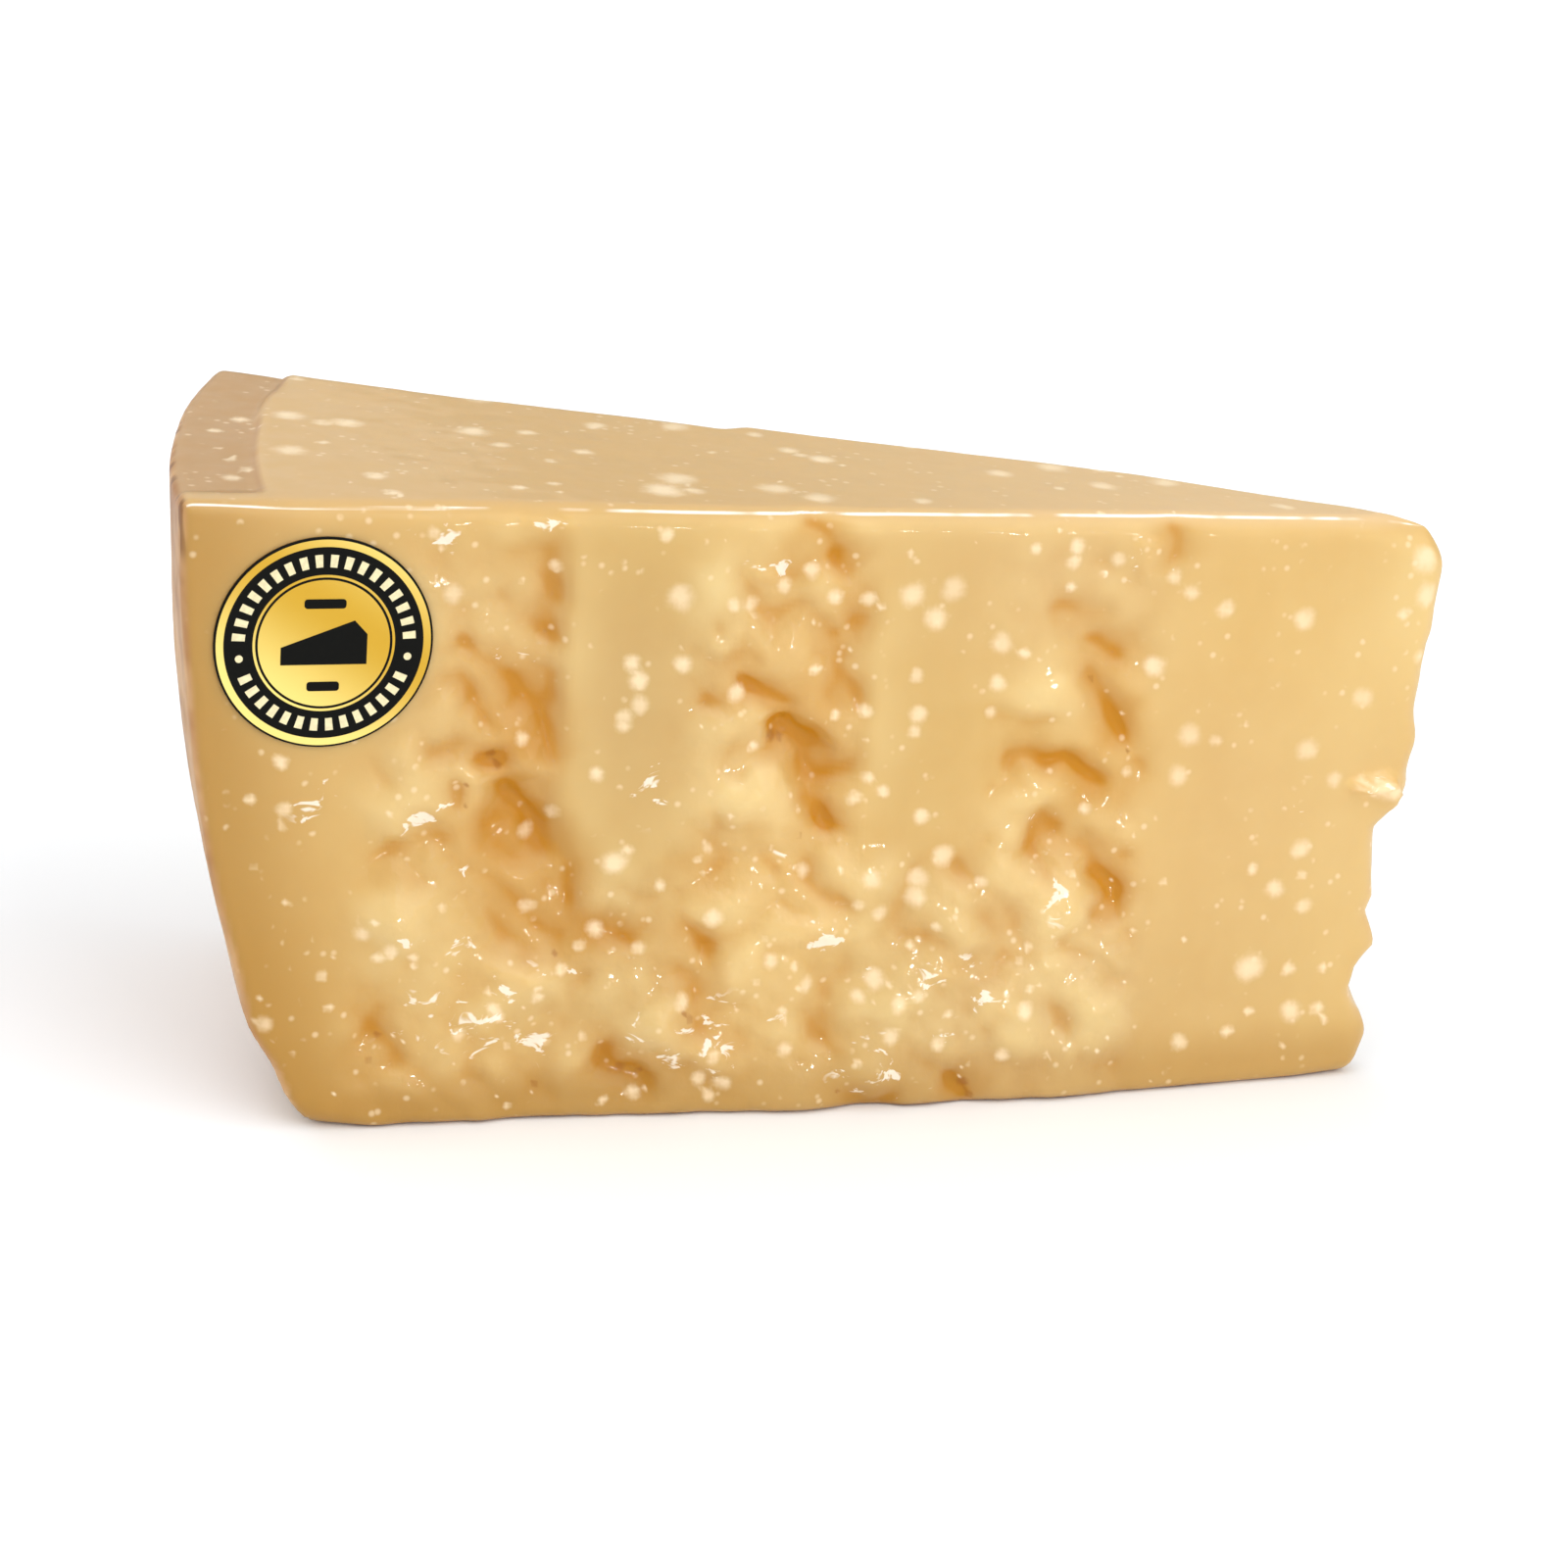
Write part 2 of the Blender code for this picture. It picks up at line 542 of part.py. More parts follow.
def make_wedge(collection):
    """The wedge of cheese, with its crags, bands, rind and blunt nose in one closed surface."""
    mesh = grid_box(CELLS)
    wrap_grid(mesh, CELLS)
    bmesh.ops.recalc_face_normals(mesh, faces=mesh.faces)
    bmesh.ops.triangulate(mesh, faces=mesh.faces, quad_method="BEAUTY")
    wedge = add_object("wedge", mesh, collection, material("cheese", srgb(226, 180, 112), 0.35))
    wedge.data.shade_smooth()
    return wedge


def make_label(collection):
    """The round label, a thin disc that stands just off the flat place on the front."""
    mesh = bmesh.new()
    radius = LABEL_RADIUS * MM
    bmesh.ops.create_cone(
        mesh, cap_ends=True, segments=LABEL_SIDES, radius1=radius, radius2=radius,
        depth=LABEL_THICKNESS * MM,
    )
    label = add_object("label", mesh, collection, material("label_foil", srgb(212, 172, 62), 0.3, 0.6))
    reach = WHEEL_RADIUS - LABEL_U
    stand_off = LABEL_GAP + 0.5 * LABEL_THICKNESS
    x = -reach * math.cos(HALF_ANGLE) + stand_off * math.sin(HALF_ANGLE)
    y = -reach * math.sin(HALF_ANGLE) - stand_off * math.cos(HALF_ANGLE)
    label.location = ((x + AXIS_X) * MM, (y + AXIS_Y) * MM, LABEL_Z * MM)
    label.rotation_euler = (math.radians(90.0), 0.0, HALF_ANGLE)
    return label


def main():
    for stale in list(bpy.data.objects):
        bpy.data.objects.remove(stale, do_unlink=True)
    collection = bpy.data.collections.new(NAME)
    bpy.context.scene.collection.children.link(collection)
    make_wedge(collection)
    make_label(collection)


main()
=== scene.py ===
"""Looks of a chunk of hard aged cheese with a round label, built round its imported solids.

The form is worked out in millimetres in the wheel's frame, with the wheel's axis upright at the
origin and the chunk towards -X, as the solids were, and then finer: flakes, grain and crystals.
"""

import math

import bmesh
import bpy
import numpy as np
from mathutils import Matrix, Vector


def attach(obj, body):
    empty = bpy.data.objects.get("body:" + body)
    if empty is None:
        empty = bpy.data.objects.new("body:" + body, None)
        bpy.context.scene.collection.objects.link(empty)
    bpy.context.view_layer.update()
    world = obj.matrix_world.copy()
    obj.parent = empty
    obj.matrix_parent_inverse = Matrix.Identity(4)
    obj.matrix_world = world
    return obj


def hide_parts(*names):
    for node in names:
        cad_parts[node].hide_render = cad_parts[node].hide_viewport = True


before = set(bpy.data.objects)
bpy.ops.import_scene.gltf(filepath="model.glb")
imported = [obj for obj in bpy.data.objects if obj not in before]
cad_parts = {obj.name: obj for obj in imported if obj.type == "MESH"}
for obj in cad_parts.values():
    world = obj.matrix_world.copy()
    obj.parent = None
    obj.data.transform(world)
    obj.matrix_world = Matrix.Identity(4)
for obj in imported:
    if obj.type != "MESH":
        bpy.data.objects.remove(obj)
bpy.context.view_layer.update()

MM = 0.001

# The wedge's own sizes, as in the solids
WHEEL_RADIUS = 222.0
HALF_ANGLE = math.radians(11.25)
COS_A = math.cos(HALF_ANGLE)
SIN_A = math.sin(HALF_ANGLE)
NOSE_GAP = 12.0
HEIGHT_AT_RIND = 105.0
HEIGHT_AT_NOSE = 100.5
HEEL_INSET = 18.2
HEEL_FOOT = 2.4
HEEL_FOOT_TOP = 20.0
HEEL_FOOT_HEIGHT = 11.0
AXIS_X = 117.03
AXIS_Y = 0.08

# Radii of the edges, and where along the chunk the nose's, rind's and heel's radii take over
SIDE_EDGE = 3.5
RIND_EDGE = 2.2
TOP_EDGE = 3.6
TOP_RIND_EDGE = 2.0
TOP_NOSE_EDGE = 8.0
BASE_EDGE = 2.2
BASE_HEEL_EDGE = 10.0
BASE_NOSE_EDGE = 4.0
NOSE_EDGE_FROM = 192.0
NOSE_EDGE_FADE = 16.0
RIND_EDGE_REACH = 18.0
RIND_EDGE_FADE = 14.0
HEEL_EDGE_REACH = 34.0
HEEL_EDGE_FADE = 24.0

# The lower strip of hard rind across the top's wide end, and how wide its steps are
STRIP_WIDTH = 13.0
STRIP_DROP = 1.0
STRIP_FRONT_MARGIN = 7.5
STRIP_STEP = 0.9
STRIP_END_STEP = 1.2

# The front bows outwards low down
BOW_DEPTH = 4.6
BOW_CENTRE = 128.0
BOW_REACH = 60.0
BOW_TOP = 62.0

# The back's step and the swell that follows it towards the nose
BACK_STEP_V = 90.0
BACK_STEP_WIDTH = 5.0
BACK_SWELL = 3.4
BACK_SWELL_END = 192.0
BACK_SWELL_FADE = 38.0

# The broken nose: height and how far it is set back there
NOSE_PROFILE = (
    (0.0, 2.6), (7.0, 2.2), (11.0, 3.0), (16.0, 5.4), (20.0, 5.2), (24.0, 2.6), (30.0, 5.2),
    (33.0, 4.2), (40.0, 4.6), (46.0, 5.0), (50.0, 2.0), (53.5, 0.0), (60.0, 0.1), (79.0, 0.6),
    (81.0, 0.1), (105.0, 0.5),
)

LABEL_U = 22.0
LABEL_Z = 82.6
LABEL_RADIUS = 16.8
LABEL_MARGIN = 5.0

# Torn columns: left end, right end, depth at the right end and width of the wall there
FRONT_COLUMNS = ((30.0, 60.0, 1.6, 3.4), (81.0, 110.0, 1.9, 4.5), (131.0, 159.5, 1.3, 9.0))
BACK_COLUMNS = ((24.0, 62.0, 1.9, 3.4), (82.0, 104.0, 2.2, 3.4), (126.0, 163.0, 1.8, 4.5))
COLUMN_FADE = 13.0
LOW_WALL = 5.0
BROKEN_TOP = 43.0
BROKEN_FADE = 9.0
SMOOTH_NOSE_FROM = 161.5
SMOOTH_RIND_TO = 22.0
TORN_AT_BASE = 0.35
TORN_FADE = 12.0
TOP_CALM = 0.8
TOP_CALM_FROM = 90.0

# The front's last column is torn less: how much less, where along it and from what height
CALM_LOSS = 0.55
CALM_FROM = 118.0
CALM_FADE = 12.0
CALM_ABOVE = 44.0
CALM_RISE = 14.0

# How the columns lean inwards: growth towards the wall, evenness, waves, and fades low and high
LEAN_POWER = 1.6
DISH_EVEN = 0.65
DISH_WAVES = (0.5, 24.0)
DISH_LOW = 24.0
DISH_LOW_FADE = 20.0
DISH_HIGH = 101.0
DISH_HIGH_FADE = 14.0

# Torn hollows of the front: depth, width of the gentle side, width of the steep side, path.
# Going along the path, the steep wall is on the left hand; u is from the rind and z is up.
FRONT_HOLLOWS = (
    (1.1, 2.4, 1.4, ((56, 100), (57.5, 94), (57, 86), (58, 79))),
    (1.6, 2.0, 1.4, ((38, 80.5), (45, 80), (50, 77.5), (54, 73.5), (56, 70))),
    (2.4, 3.0, 1.8, ((37, 76), (44, 75), (48, 71.5), (50, 67))),
    (2.2, 2.6, 1.8, ((50, 76), (55, 71), (58, 66), (60, 61))),
    (1.3, 2.2, 1.4, ((36, 65.5), (43, 65.8), (50, 65))),
    (3.2, 2.2, 1.6, ((47, 64), (50, 62.5), (52.5, 60))),
    (4.4, 5.0, 2.6, ((51, 60), (54.5, 55), (58, 49.5), (61.5, 44), (63.5, 38), (65, 33))),
    (1.9, 2.2, 1.4, ((47, 55), (51, 51), (55, 46), (57.5, 42))),
    (1.4, 3.0, 1.6, ((30, 44), (35, 48.5), (40, 51), (48, 50.5))),
    (1.2, 1.8, 1.2, ((44, 59), (46, 54))),
    (2.4, 2.8, 1.6, ((48.5, 44), (54, 40), (59, 35.5), (64, 31))),
    (1.6, 2.2, 1.4, ((50, 36), (54.5, 32.5), (61, 30))),
    (1.8, 3.0, 1.6, ((65, 37), (70, 33), (76, 32))),
    (1.8, 4.0, 2.2, ((30, 19), (35, 15), (38, 11))),
    (1.2, 3.0, 1.8, ((79, 29), (82.5, 24.5), (84.5, 19), (87, 13))),
    (1.1, 2.6, 1.6, ((79, 34), (84, 31.5), (89, 28))),
    (4.0, 2.8, 2.0, ((68, 14), (72.5, 9.5), (80, 6))),
    (1.4, 1.8, 1.0, ((80, 18.5), (84, 14.5))),
    (0.9, 2.6, 1.4, ((57, 7), (64.5, 6.5))),
    (1.9, 2.6, 1.8, ((97, 103), (100.5, 100.5), (102.5, 97), (104, 93))),
    (1.6, 2.6, 1.6, ((103, 98), (107, 93))),
    (1.5, 2.6, 1.4, ((89, 87), (95, 85.5), (100, 87), (104, 83.5), (108, 77))),
    (1.1, 2.4, 1.4, ((104, 92), (106.5, 86), (109, 80))),
    (1.2, 2.2, 1.3, ((86, 79.5), (92.5, 78))),
    (1.5, 2.4, 1.5, ((82, 69.5), (87, 71.5), (91, 71))),
    (2.4, 2.8, 1.8, ((88, 75), (94, 73.5), (98, 69))),
    (4.0, 4.4, 2.6, ((92, 66.5), (97, 66), (102, 63), (107, 57))),
    (2.6, 3.2, 2.4, ((103, 58), (105.5, 52), (106.5, 47))),
    (1.7, 2.2, 1.6, ((101, 44.5), (102.8, 40), (107, 37.8), (110, 38.5))),
    (0.9, 2.4, 1.5, ((85, 48.5), (92, 50.8), (98, 50))),
    (0.7, 2.8, 1.8, ((78, 43), (84, 43), (90, 41))),
    (0.6, 2.2, 1.6, ((107, 27), (107.5, 20), (108.5, 12))),
    (2.0, 3.4, 2.0, ((109, 4), (115, 1.5), (122, 2.5))),
    (0.7, 2.6, 1.4, ((139, 85.5), (146, 86.8), (152, 85.5))),
    (2.0, 2.8, 1.6, ((146, 82.5), (150.5, 79), (154, 76.5))),
    (2.3, 3.2, 2.2, ((146.5, 76), (150, 72.5), (153.5, 67.5), (156.5, 61))),
    (0.9, 2.4, 1.4, ((131, 68), (138, 66), (145, 66.5))),
    (2.8, 2.6, 1.8, ((133.5, 61), (140, 61), (146, 60), (150.5, 57), (154.5, 53.5))),
    (1.3, 2.2, 1.4, ((130, 56.5), (136, 57.5), (141, 55.5))),
    (2.8, 3.4, 2.2, ((140.5, 52.5), (145.5, 48), (151, 43), (156, 37.5), (159, 31))),
    (1.6, 2.2, 1.4, ((150, 48), (154, 44), (158.5, 41))),
    (0.9, 2.6, 1.6, ((130, 38), (135, 33.5), (138, 28), (140, 23))),
    (0.7, 2.6, 1.6, ((135.5, 24), (137, 19), (140, 14))),
    (0.9, 2.4, 1.3, ((117, 29), (123, 31.5), (127.5, 28.5), (131, 23.5))),
    (1.5, 3.0, 2.2, ((160, 102), (161, 98), (161.5, 93.5))),
    (1.3, 2.2, 1.6, ((155, 60.5), (161, 58))),
    (2.2, 2.4, 1.8, ((129, 6.5), (132, 3.0), (134, 0))),
    (0.9, 2.4, 1.8, ((127, 43.5), (134, 40))),
)

# Lumps of the front that stand proud: height, radius along u, radius along z, u, z
FRONT_LUMPS = (
    (1.2, 7.0, 3.0, 42.0, 70.5), (1.3, 2.6, 3.4, 47.5, 59.5), (1.6, 10.0, 8.0, 39.0, 39.0),
    (1.6, 4.0, 5.0, 59.5, 42.5), (2.4, 7.5, 6.0, 92.0, 56.0), (1.2, 4.0, 3.5, 88.0, 67.0),
    (2.2, 4.2, 4.4, 106.5, 42.5), (1.5, 6.0, 4.5, 104.0, 31.0), (1.4, 6.5, 3.0, 143.0, 71.0),
    (1.3, 7.0, 3.6, 138.0, 55.0), (2.0, 5.5, 8.0, 146.0, 36.0), (1.8, 8.0, 8.0, 152.0, 19.0),
    (2.6, 4.6, 4.2, 77.5, 15.0), (1.4, 6.0, 4.0, 57.0, 25.0), (1.2, 7.0, 5.0, 120.0, 21.0),
    (1.3, 5.0, 3.5, 118.0, 8.0), (1.2, 8.0, 5.0, 36.0, 57.0), (1.0, 4.0, 4.0, 130.0, 32.0),
)

# Broad patches of painted shade and light on the front, amber shade above 0 and pale light below: amount,
# reach along u and z, u, z
FRONT_SHADE_AND_LIGHT = (
    (0.4, 7.0, 9.0, 54.0, 50.0), (0.55, 6.5, 9.0, 53.0, 70.0), (0.12, 2.6, 10.0, 58.0, 90.0),
    (0.35, 7.0, 6.0, 62.0, 34.0), (0.25, 5.0, 3.0, 90.0, 73.0), (0.35, 4.5, 8.0, 105.0, 56.0),
    (0.5, 6.0, 7.0, 103.0, 72.0), (0.22, 5.0, 8.0, 105.0, 90.0), (0.25, 6.0, 4.0, 95.0, 79.0),
    (0.35, 5.0, 11.0, 154.0, 66.0), (0.3, 8.0, 3.0, 145.0, 60.0), (0.3, 8.0, 4.0, 150.0, 54.0),
    (0.2, 5.0, 8.0, 156.0, 40.0), (0.22, 4.0, 12.0, 85.0, 22.0), (0.12, 45.0, 8.0, 125.0, 5.0),
    (0.3, 6.0, 7.0, 48.0, 50.0), (0.12, 30.0, 7.0, 180.0, 3.0), (0.3, 12.0, 14.0, 12.0, 22.0),
    (0.25, 20.0, 5.0, 32.0, 3.0), (0.25, 4.0, 5.0, 90.0, 12.0), (-0.35, 9.0, 8.0, 34.0, 55.0),
    (-0.35, 10.0, 9.0, 36.0, 33.0), (-0.5, 8.0, 6.0, 89.0, 56.0), (-0.4, 6.0, 6.0, 136.0, 52.0),
    (-0.4, 6.0, 12.0, 146.0, 28.0), (-0.3, 7.0, 4.0, 139.0, 72.0), (-0.4, 5.0, 5.0, 76.0, 16.0),
    (-0.5, 9.0, 15.0, 206.0, 88.0), (-0.25, 14.0, 20.0, 196.0, 70.0),
    (-0.25, 12.0, 20.0, 200.0, 34.0), (-0.3, 80.0, 3.5, 112.0, 101.5), (-0.3, 6.0, 6.0, 84.0, 92.0),
    (0.2, 22.0, 5.0, 25.0, 98.0), (0.4, 4.0, 4.0, 71.0, 14.0), (0.25, 12.0, 4.0, 71.0, 32.0),
    (0.35, 4.0, 7.0, 57.0, 65.0), (0.22, 6.0, 5.0, 55.0, 38.0), (0.15, 5.0, 5.0, 100.0, 25.0),
    (0.2, 6.0, 4.0, 148.0, 76.0), (-0.3, 6.0, 5.0, 151.0, 15.0), (-0.35, 5.0, 8.0, 113.0, 24.0),
    (-0.2, 8.0, 8.0, 132.0, 20.0),
)

# Places of the front painted a little darker all over, as painted shade: amount, reach along u and z, u, z
FRONT_SHADE_DIMS = (
    (0.13, 14.0, 60.0, 72.0, 70.0), (0.07, 14.0, 50.0, 120.0, 60.0),
    (0.07, 60.0, 14.0, 130.0, 14.0), (0.03, 30.0, 20.0, 180.0, 24.0),
)

# Torn arcs of the back: how many a column has, where they start and end, drop, bend and sizes
BACK_ARCS = 8
BACK_SEED = 23
ARC_TOP = 96.0
ARC_RANGE = 92.0
ARC_JITTER = (0.2, 0.8)
ARC_START = 0.4
ARC_END = 3.0
ARC_DROP = (8.0, 20.0)
ARC_BEND = 1.7
ARC_STOPS = (0.0, 0.35, 0.7, 1.0)
ARC_DEPTH = (1.2, 3.8)
ARC_GENTLE = (3.0, 6.0)
ARC_STEEP = (1.5, 2.4)

# The shape across and along a hollow, and how hollows that cross are blended
HOLLOW_DEPTH = 0.9
HOLLOW_SOFTEN = 1.0
CORE_SHARE = 0.25
CORE_WIDTH = 0.5
SKIRT_POWER = 1.4
TAPER = 0.75
TAPER_POWER = 4
BLEND_POWER = 2.5
RELIEF_SOFTEN = 0.58

# Clumps of the torn paste: spacing, depth and seed, then how they differ, round off and slope
CLUMPS = ((15.0, 1.5, 11), (7.5, 0.8, 12))
FINE_CLUMPS = ((4.4, 0.4, 13), (2.4, 0.08, 14))
CLUMP_UNEVEN = 0.7
CLUMP_ROUND = 1.1
CLUMP_SLOPE = 0.8
CLUMP_MEAN = 0.75
BACK_CLUMPS_UP = 40.0

# Slanting smears of the torn paste: spacing, depth and seed
SMEARS = ((11.0, 1.5, 31), (6.0, 1.0, 32), (3.4, 0.5, 33))
SMEAR_SLANT = math.radians(-38.0)
SMEAR_STRETCH = 0.6
SMEAR_CREASE = 1.1

# What pushes the drawn hollows about: reach and spacing, coarse and fine
WARP = 1.4
WARP_SCALE = 9.0
FINE_WARP = 0.9
FINE_WARP_SCALE = 3.8
FINE_WARP_SEED = 40

# Plain waves and grain of the surfaces: height, spacing and seed
FRONT_WAVES = (0.35, 38.0, 3)
FRONT_GRAIN = (0.05, 14.0, 15)
BACK_WAVES = (0.5, 30.0, 8)
BACK_GRAIN = (0.05, 14.0, 16)
RIND_WAVES = (0.25, 16.0, 4)
RIND_GRAIN = (0.05, 1.6, 17)
NOSE_WAVES = (0.8, 6.0, 9)
TOP_WAVES = (0.22, 34.0, 10)
STRIP_WAVES = (0.5, 9.0, 18)
GRAIN_STRETCH = 6.0
RIND_GRAIN_STRETCH = 0.4
NOSE_STRETCH = 1.4
NOSE_CLUMPS = 0.35

# The lattice of seeded numbers behind all the waves, and how far apart two seeds read it
LATTICE_SIZE = 64
LATTICE = np.random.default_rng(7).random((LATTICE_SIZE, LATTICE_SIZE))
SEED_ACROSS = 3.7
SEED_UP = 5.3

# The grid wrapped round the form, and the spacing of the tables that its relief is read from
CELLS = (236, 44, 116)
CORE_DEPTH = 14.0
CORE_FROM_RIND = 1.3
OVERSHOOT = 1.7
HALVINGS = 20
DENSE_STRETCH = (26.0, 166.0)
DENSE_SHARE = 1.35
ACROSS_LENGTH = 80.0
EDGE_SHARE = 0.8
EDGE_FADE = 4.0
GRADING_SAMPLES = 2001
BASE_SNAP = 0.05
TABLE_STEP = 0.4
TABLE_MARGIN = 12.0
TABLE_END = 2.001

# Reach of the averages that tell hollows from lumps, and how far the amber shade painted round a hollow
# spreads
CAVITY_REACH = 5.0
CREVICE_REACH = 1.6
HOLLOW_SHADE_GENTLE = 1.6
HOLLOW_SHADE_STEEP = 1.5
HOLLOW_SHADE_GENTLE_MORE = 0.6
HOLLOW_SHADE_STEEP_MORE = 0.4
HOLLOW_SHADE_POWER = 0.55

# Flakes torn half off the front: height, radius along u, radius along z, u, z
FLAKES = (
    (2.1, 3.8, 1.7, 203.0, 54.0), (1.4, 1.8, 1.5, 206.2, 51.6), (0.6, 2.2, 1.2, 156.0, 97.0),
    (0.5, 1.5, 2.2, 155.2, 94.0), (0.6, 3.6, 1.1, 56.0, 101.2), (0.6, 2.4, 1.3, 91.5, 91.8),
    (0.7, 2.6, 1.2, 96.8, 43.6), (0.7, 3.6, 1.6, 103.5, 32.5), (0.6, 2.0, 1.4, 108.0, 31.0),
    (0.5, 3.4, 1.0, 54.0, 26.2), (0.5, 3.4, 1.0, 127.0, 24.4), (0.6, 2.4, 2.4, 144.0, 38.0),
)

FLAKE_RAGGED = (0.9, 1.7)
FLAKE_EDGE = 1.15
FLAKE_EDGE_WIDE = 0.3

# Pale crystals seen on the front: u, z and radius
FRONT_CRYSTALS = (
    (116, 89, 2.2), (123, 90, 2.2), (120.5, 85, 2.0), (132, 80.7, 1.9), (136, 79, 1.2),
    (132, 74, 1.5), (131.5, 68.7, 1.2), (118, 75.5, 1.2), (119, 68.8, 1.6), (118.5, 66, 1.2),
    (110, 69.4, 1.2), (159.6, 76, 1.8), (136, 96.5, 1.2), (151, 94.6, 1.5), (185, 84, 2.1),
    (170.5, 86, 1.6), (167, 64, 2.1), (203.4, 54, 2.4), (199.5, 54.6, 1.4), (206, 53, 1.6),
    (172, 63, 1.2), (166, 57, 1.8), (198, 70, 2.0), (189, 61, 2.0), (194.5, 55.5, 1.7),
    (190, 43, 1.7), (186, 36, 1.8), (192, 32.5, 1.5), (181.5, 40, 1.1), (183, 22, 2.6),
    (190.5, 21, 1.3), (197, 21, 1.1), (192, 13.3, 2.1), (197, 13.3, 1.4), (171, 9, 1.8),
    (180, 10.5, 1.3), (206, 94.5, 2.7), (207, 88, 2.2), (207.7, 77, 1.5), (70, 45, 2.1),
    (72, 47, 1.2), (70, 68, 1.5), (78, 89, 2.2), (71, 78.5, 1.4), (79, 78, 1.6), (72, 75.5, 1.6),
    (72.5, 71.5, 1.6), (70, 69.5, 1.3), (74.7, 99.4, 1.2), (103, 89, 1.4), (125.6, 44.4, 1.9),
    (121.5, 40.5, 1.9), (121, 37.5, 1.8), (112.8, 41, 1.6), (115, 35, 1.4), (111, 36.5, 1.2),
    (103, 23, 1.4), (96.7, 27.4, 1.4), (111.5, 58, 1.1), (114, 55.7, 1.2), (109.5, 54.7, 1.3),
    (121, 51, 1.4), (141.6, 17, 1.6), (126.5, 11.7, 1.5), (118, 13.5, 1.6), (67.5, 33, 1.5),
    (29.3, 34.5, 1.5), (23.6, 27.3, 1.0), (25, 21.5, 0.9), (16.8, 55.5, 1.3), (16.5, 52.5, 0.9),
    (11.5, 57.3, 0.9), (56, 37, 1.2), (86.5, 88, 1.3), (99, 93, 1.3), (101, 76.5, 1.0),
    (38, 100, 1.2), (42, 90, 1.6), (40, 97.5, 0.8), (54, 66, 1.3), (85.5, 46.5, 1.0), (87, 35, 1.6),
    (88, 11, 1.2), (109, 88.5, 1.2), (161, 91.5, 1.3), (75, 30, 1.2), (157, 57.5, 1.1),
    (115, 23.5, 1.8),
)

# Pale crystals on the cut top: u, distance back from the front and radius
TOP_CRYSTALS = (
    (24, 51, 1.9), (21, 30, 2.0), (33, 47, 1.8), (29, 47, 1.3), (27, 35, 0.9), (59, 65, 2.0),
    (53, 43, 2.0), (62, 43, 1.2), (56, 35, 1.2), (69, 32, 1.2), (75, 49, 1.4), (89, 49, 1.8),
    (62, 26, 0.9), (81, 18, 2.2), (77, 11, 2.4), (82, 11, 1.2), (96, 13, 2.0), (105, 36, 1.3),
    (109, 31, 1.6), (102, 8, 1.8), (32, 16, 1.4), (33, 7, 1.2), (138, 24, 1.6), (149, 28, 1.8),
    (154, 17, 1.6), (166, 20, 1.6), (157, 27, 1.0), (182, 7, 1.2), (16, 51, 1.2), (11, 44, 0.9),
    (11, 27, 0.8), (10, 17, 1.2), (13, 22, 0.9), (119, 7, 1.2), (128, 40, 1.0),
)

# The painted highlight line along the front's top edge: where it runs round the edge, and its width
RIM_SHIFT = 0.3
RIM_TURN = 0.007
RIM_WIDE = 0.72

# Spacing of the broad and small patches of tone, and what makes the crystals' outlines ragged
BROAD_GRAIN = 34.0
PATCH_GRAIN = 8.0
PATCH_CONTRAST = 0.6
SPOT_RAGGED = 0.4
SPOT_GRAIN = 2.2

# Crystals scattered beside the ones that were seen
TOP_CRYSTAL_GROWTH = 1.45
RANDOM_CRYSTALS = 420
CRYSTAL_SEED = 31
SPOTS_FROM_U = 4.0
SPOTS_FROM_Z = 2.0
SPOTS_TO_Z = 100.0
SPOTS_TO_TOP = 80.0
SPOT_LEAST = 0.35
SPOT_GROWTH = 1.2
SPOT_POWER = 3
BACK_SPOT_SCALE = 0.93
BACK_SPOT_SHIFT = 9.0
BACK_SPOT_HEIGHT = 104.0

# Depths below a surface at which its regions of the paint fade
FACE_FADE = 2.5
SKIN_FROM_RIND = (1.3, 1.0)
SKIN_FROM_BASE = (1.2, 0.8)
CRUST_NEAR = (0.65, 22.0)
# The long tail of the darkening from the rind, painted shade across the front
RIND_SHADE_TAIL = (0.3, 90.0)
CRUST_BASE_TOP = 14.0
CRUST_BASE_FADE = 10.0
CRUST_BASE_SHARE = 0.85
CRUST_BASE_LOSS = 0.35
CRUST_BASE_LENGTH = 150.0
RIM_ON_FRONT = 3.0
RIM_ON_TOP = 4.5
NO_RIM = -3.0

# Where glints are painted on the front as small white highlights: u, z and their reach both ways
GLINTS = (
    (56.5, 101, 5, 1.6), (40, 98, 4.5, 3), (44, 43.5, 2.4, 1.4), (36.5, 33, 2, 1.6),
    (46, 31, 2.5, 2), (53.5, 25, 6.5, 2.8), (47, 18, 10, 8), (65, 26, 2.5, 2), (57, 14, 5, 4),
    (75, 57, 3, 4.5), (90, 60, 1.6, 2.2), (97, 44, 4, 2.2), (104.5, 32, 6, 3.5), (93, 93.5, 4, 2.2),
    (112, 24, 2, 2), (127.5, 23.5, 6, 3.4), (134, 18, 3, 3), (146, 38, 2.5, 5), (143, 50, 2.5, 3),
    (154.5, 96, 2.5, 4), (53, 79, 4, 2), (189, 51, 1.5, 2.5), (203, 53.5, 4, 2), (88, 14, 10, 6),
    (118, 8, 8, 5), (128, 11, 4, 4), (39, 55, 6, 5), (75, 16, 3, 3), (22, 57, 4, 4),
)

# Small pits painted dark as shade: u, z and radius
PITS = (
    (49, 63.3, 1.0), (50.5, 61, 0.8), (45.3, 58.5, 0.6), (45.5, 55, 0.5), (95.5, 64.8, 1.0),
    (97.2, 64, 0.6), (100.8, 48.2, 0.6), (84, 17.5, 0.7), (83, 19, 0.5), (33, 16, 0.8),
    (31.5, 12, 0.7), (149, 74, 0.6), (157, 61, 0.5), (73.5, 8.5, 0.9), (61, 29.5, 0.6),
    (76.5, 7.4, 0.7), (132, 4, 1.0), (133.6, 1.6, 0.8), (110, 4, 0.7), (59, 6.5, 0.7),
)

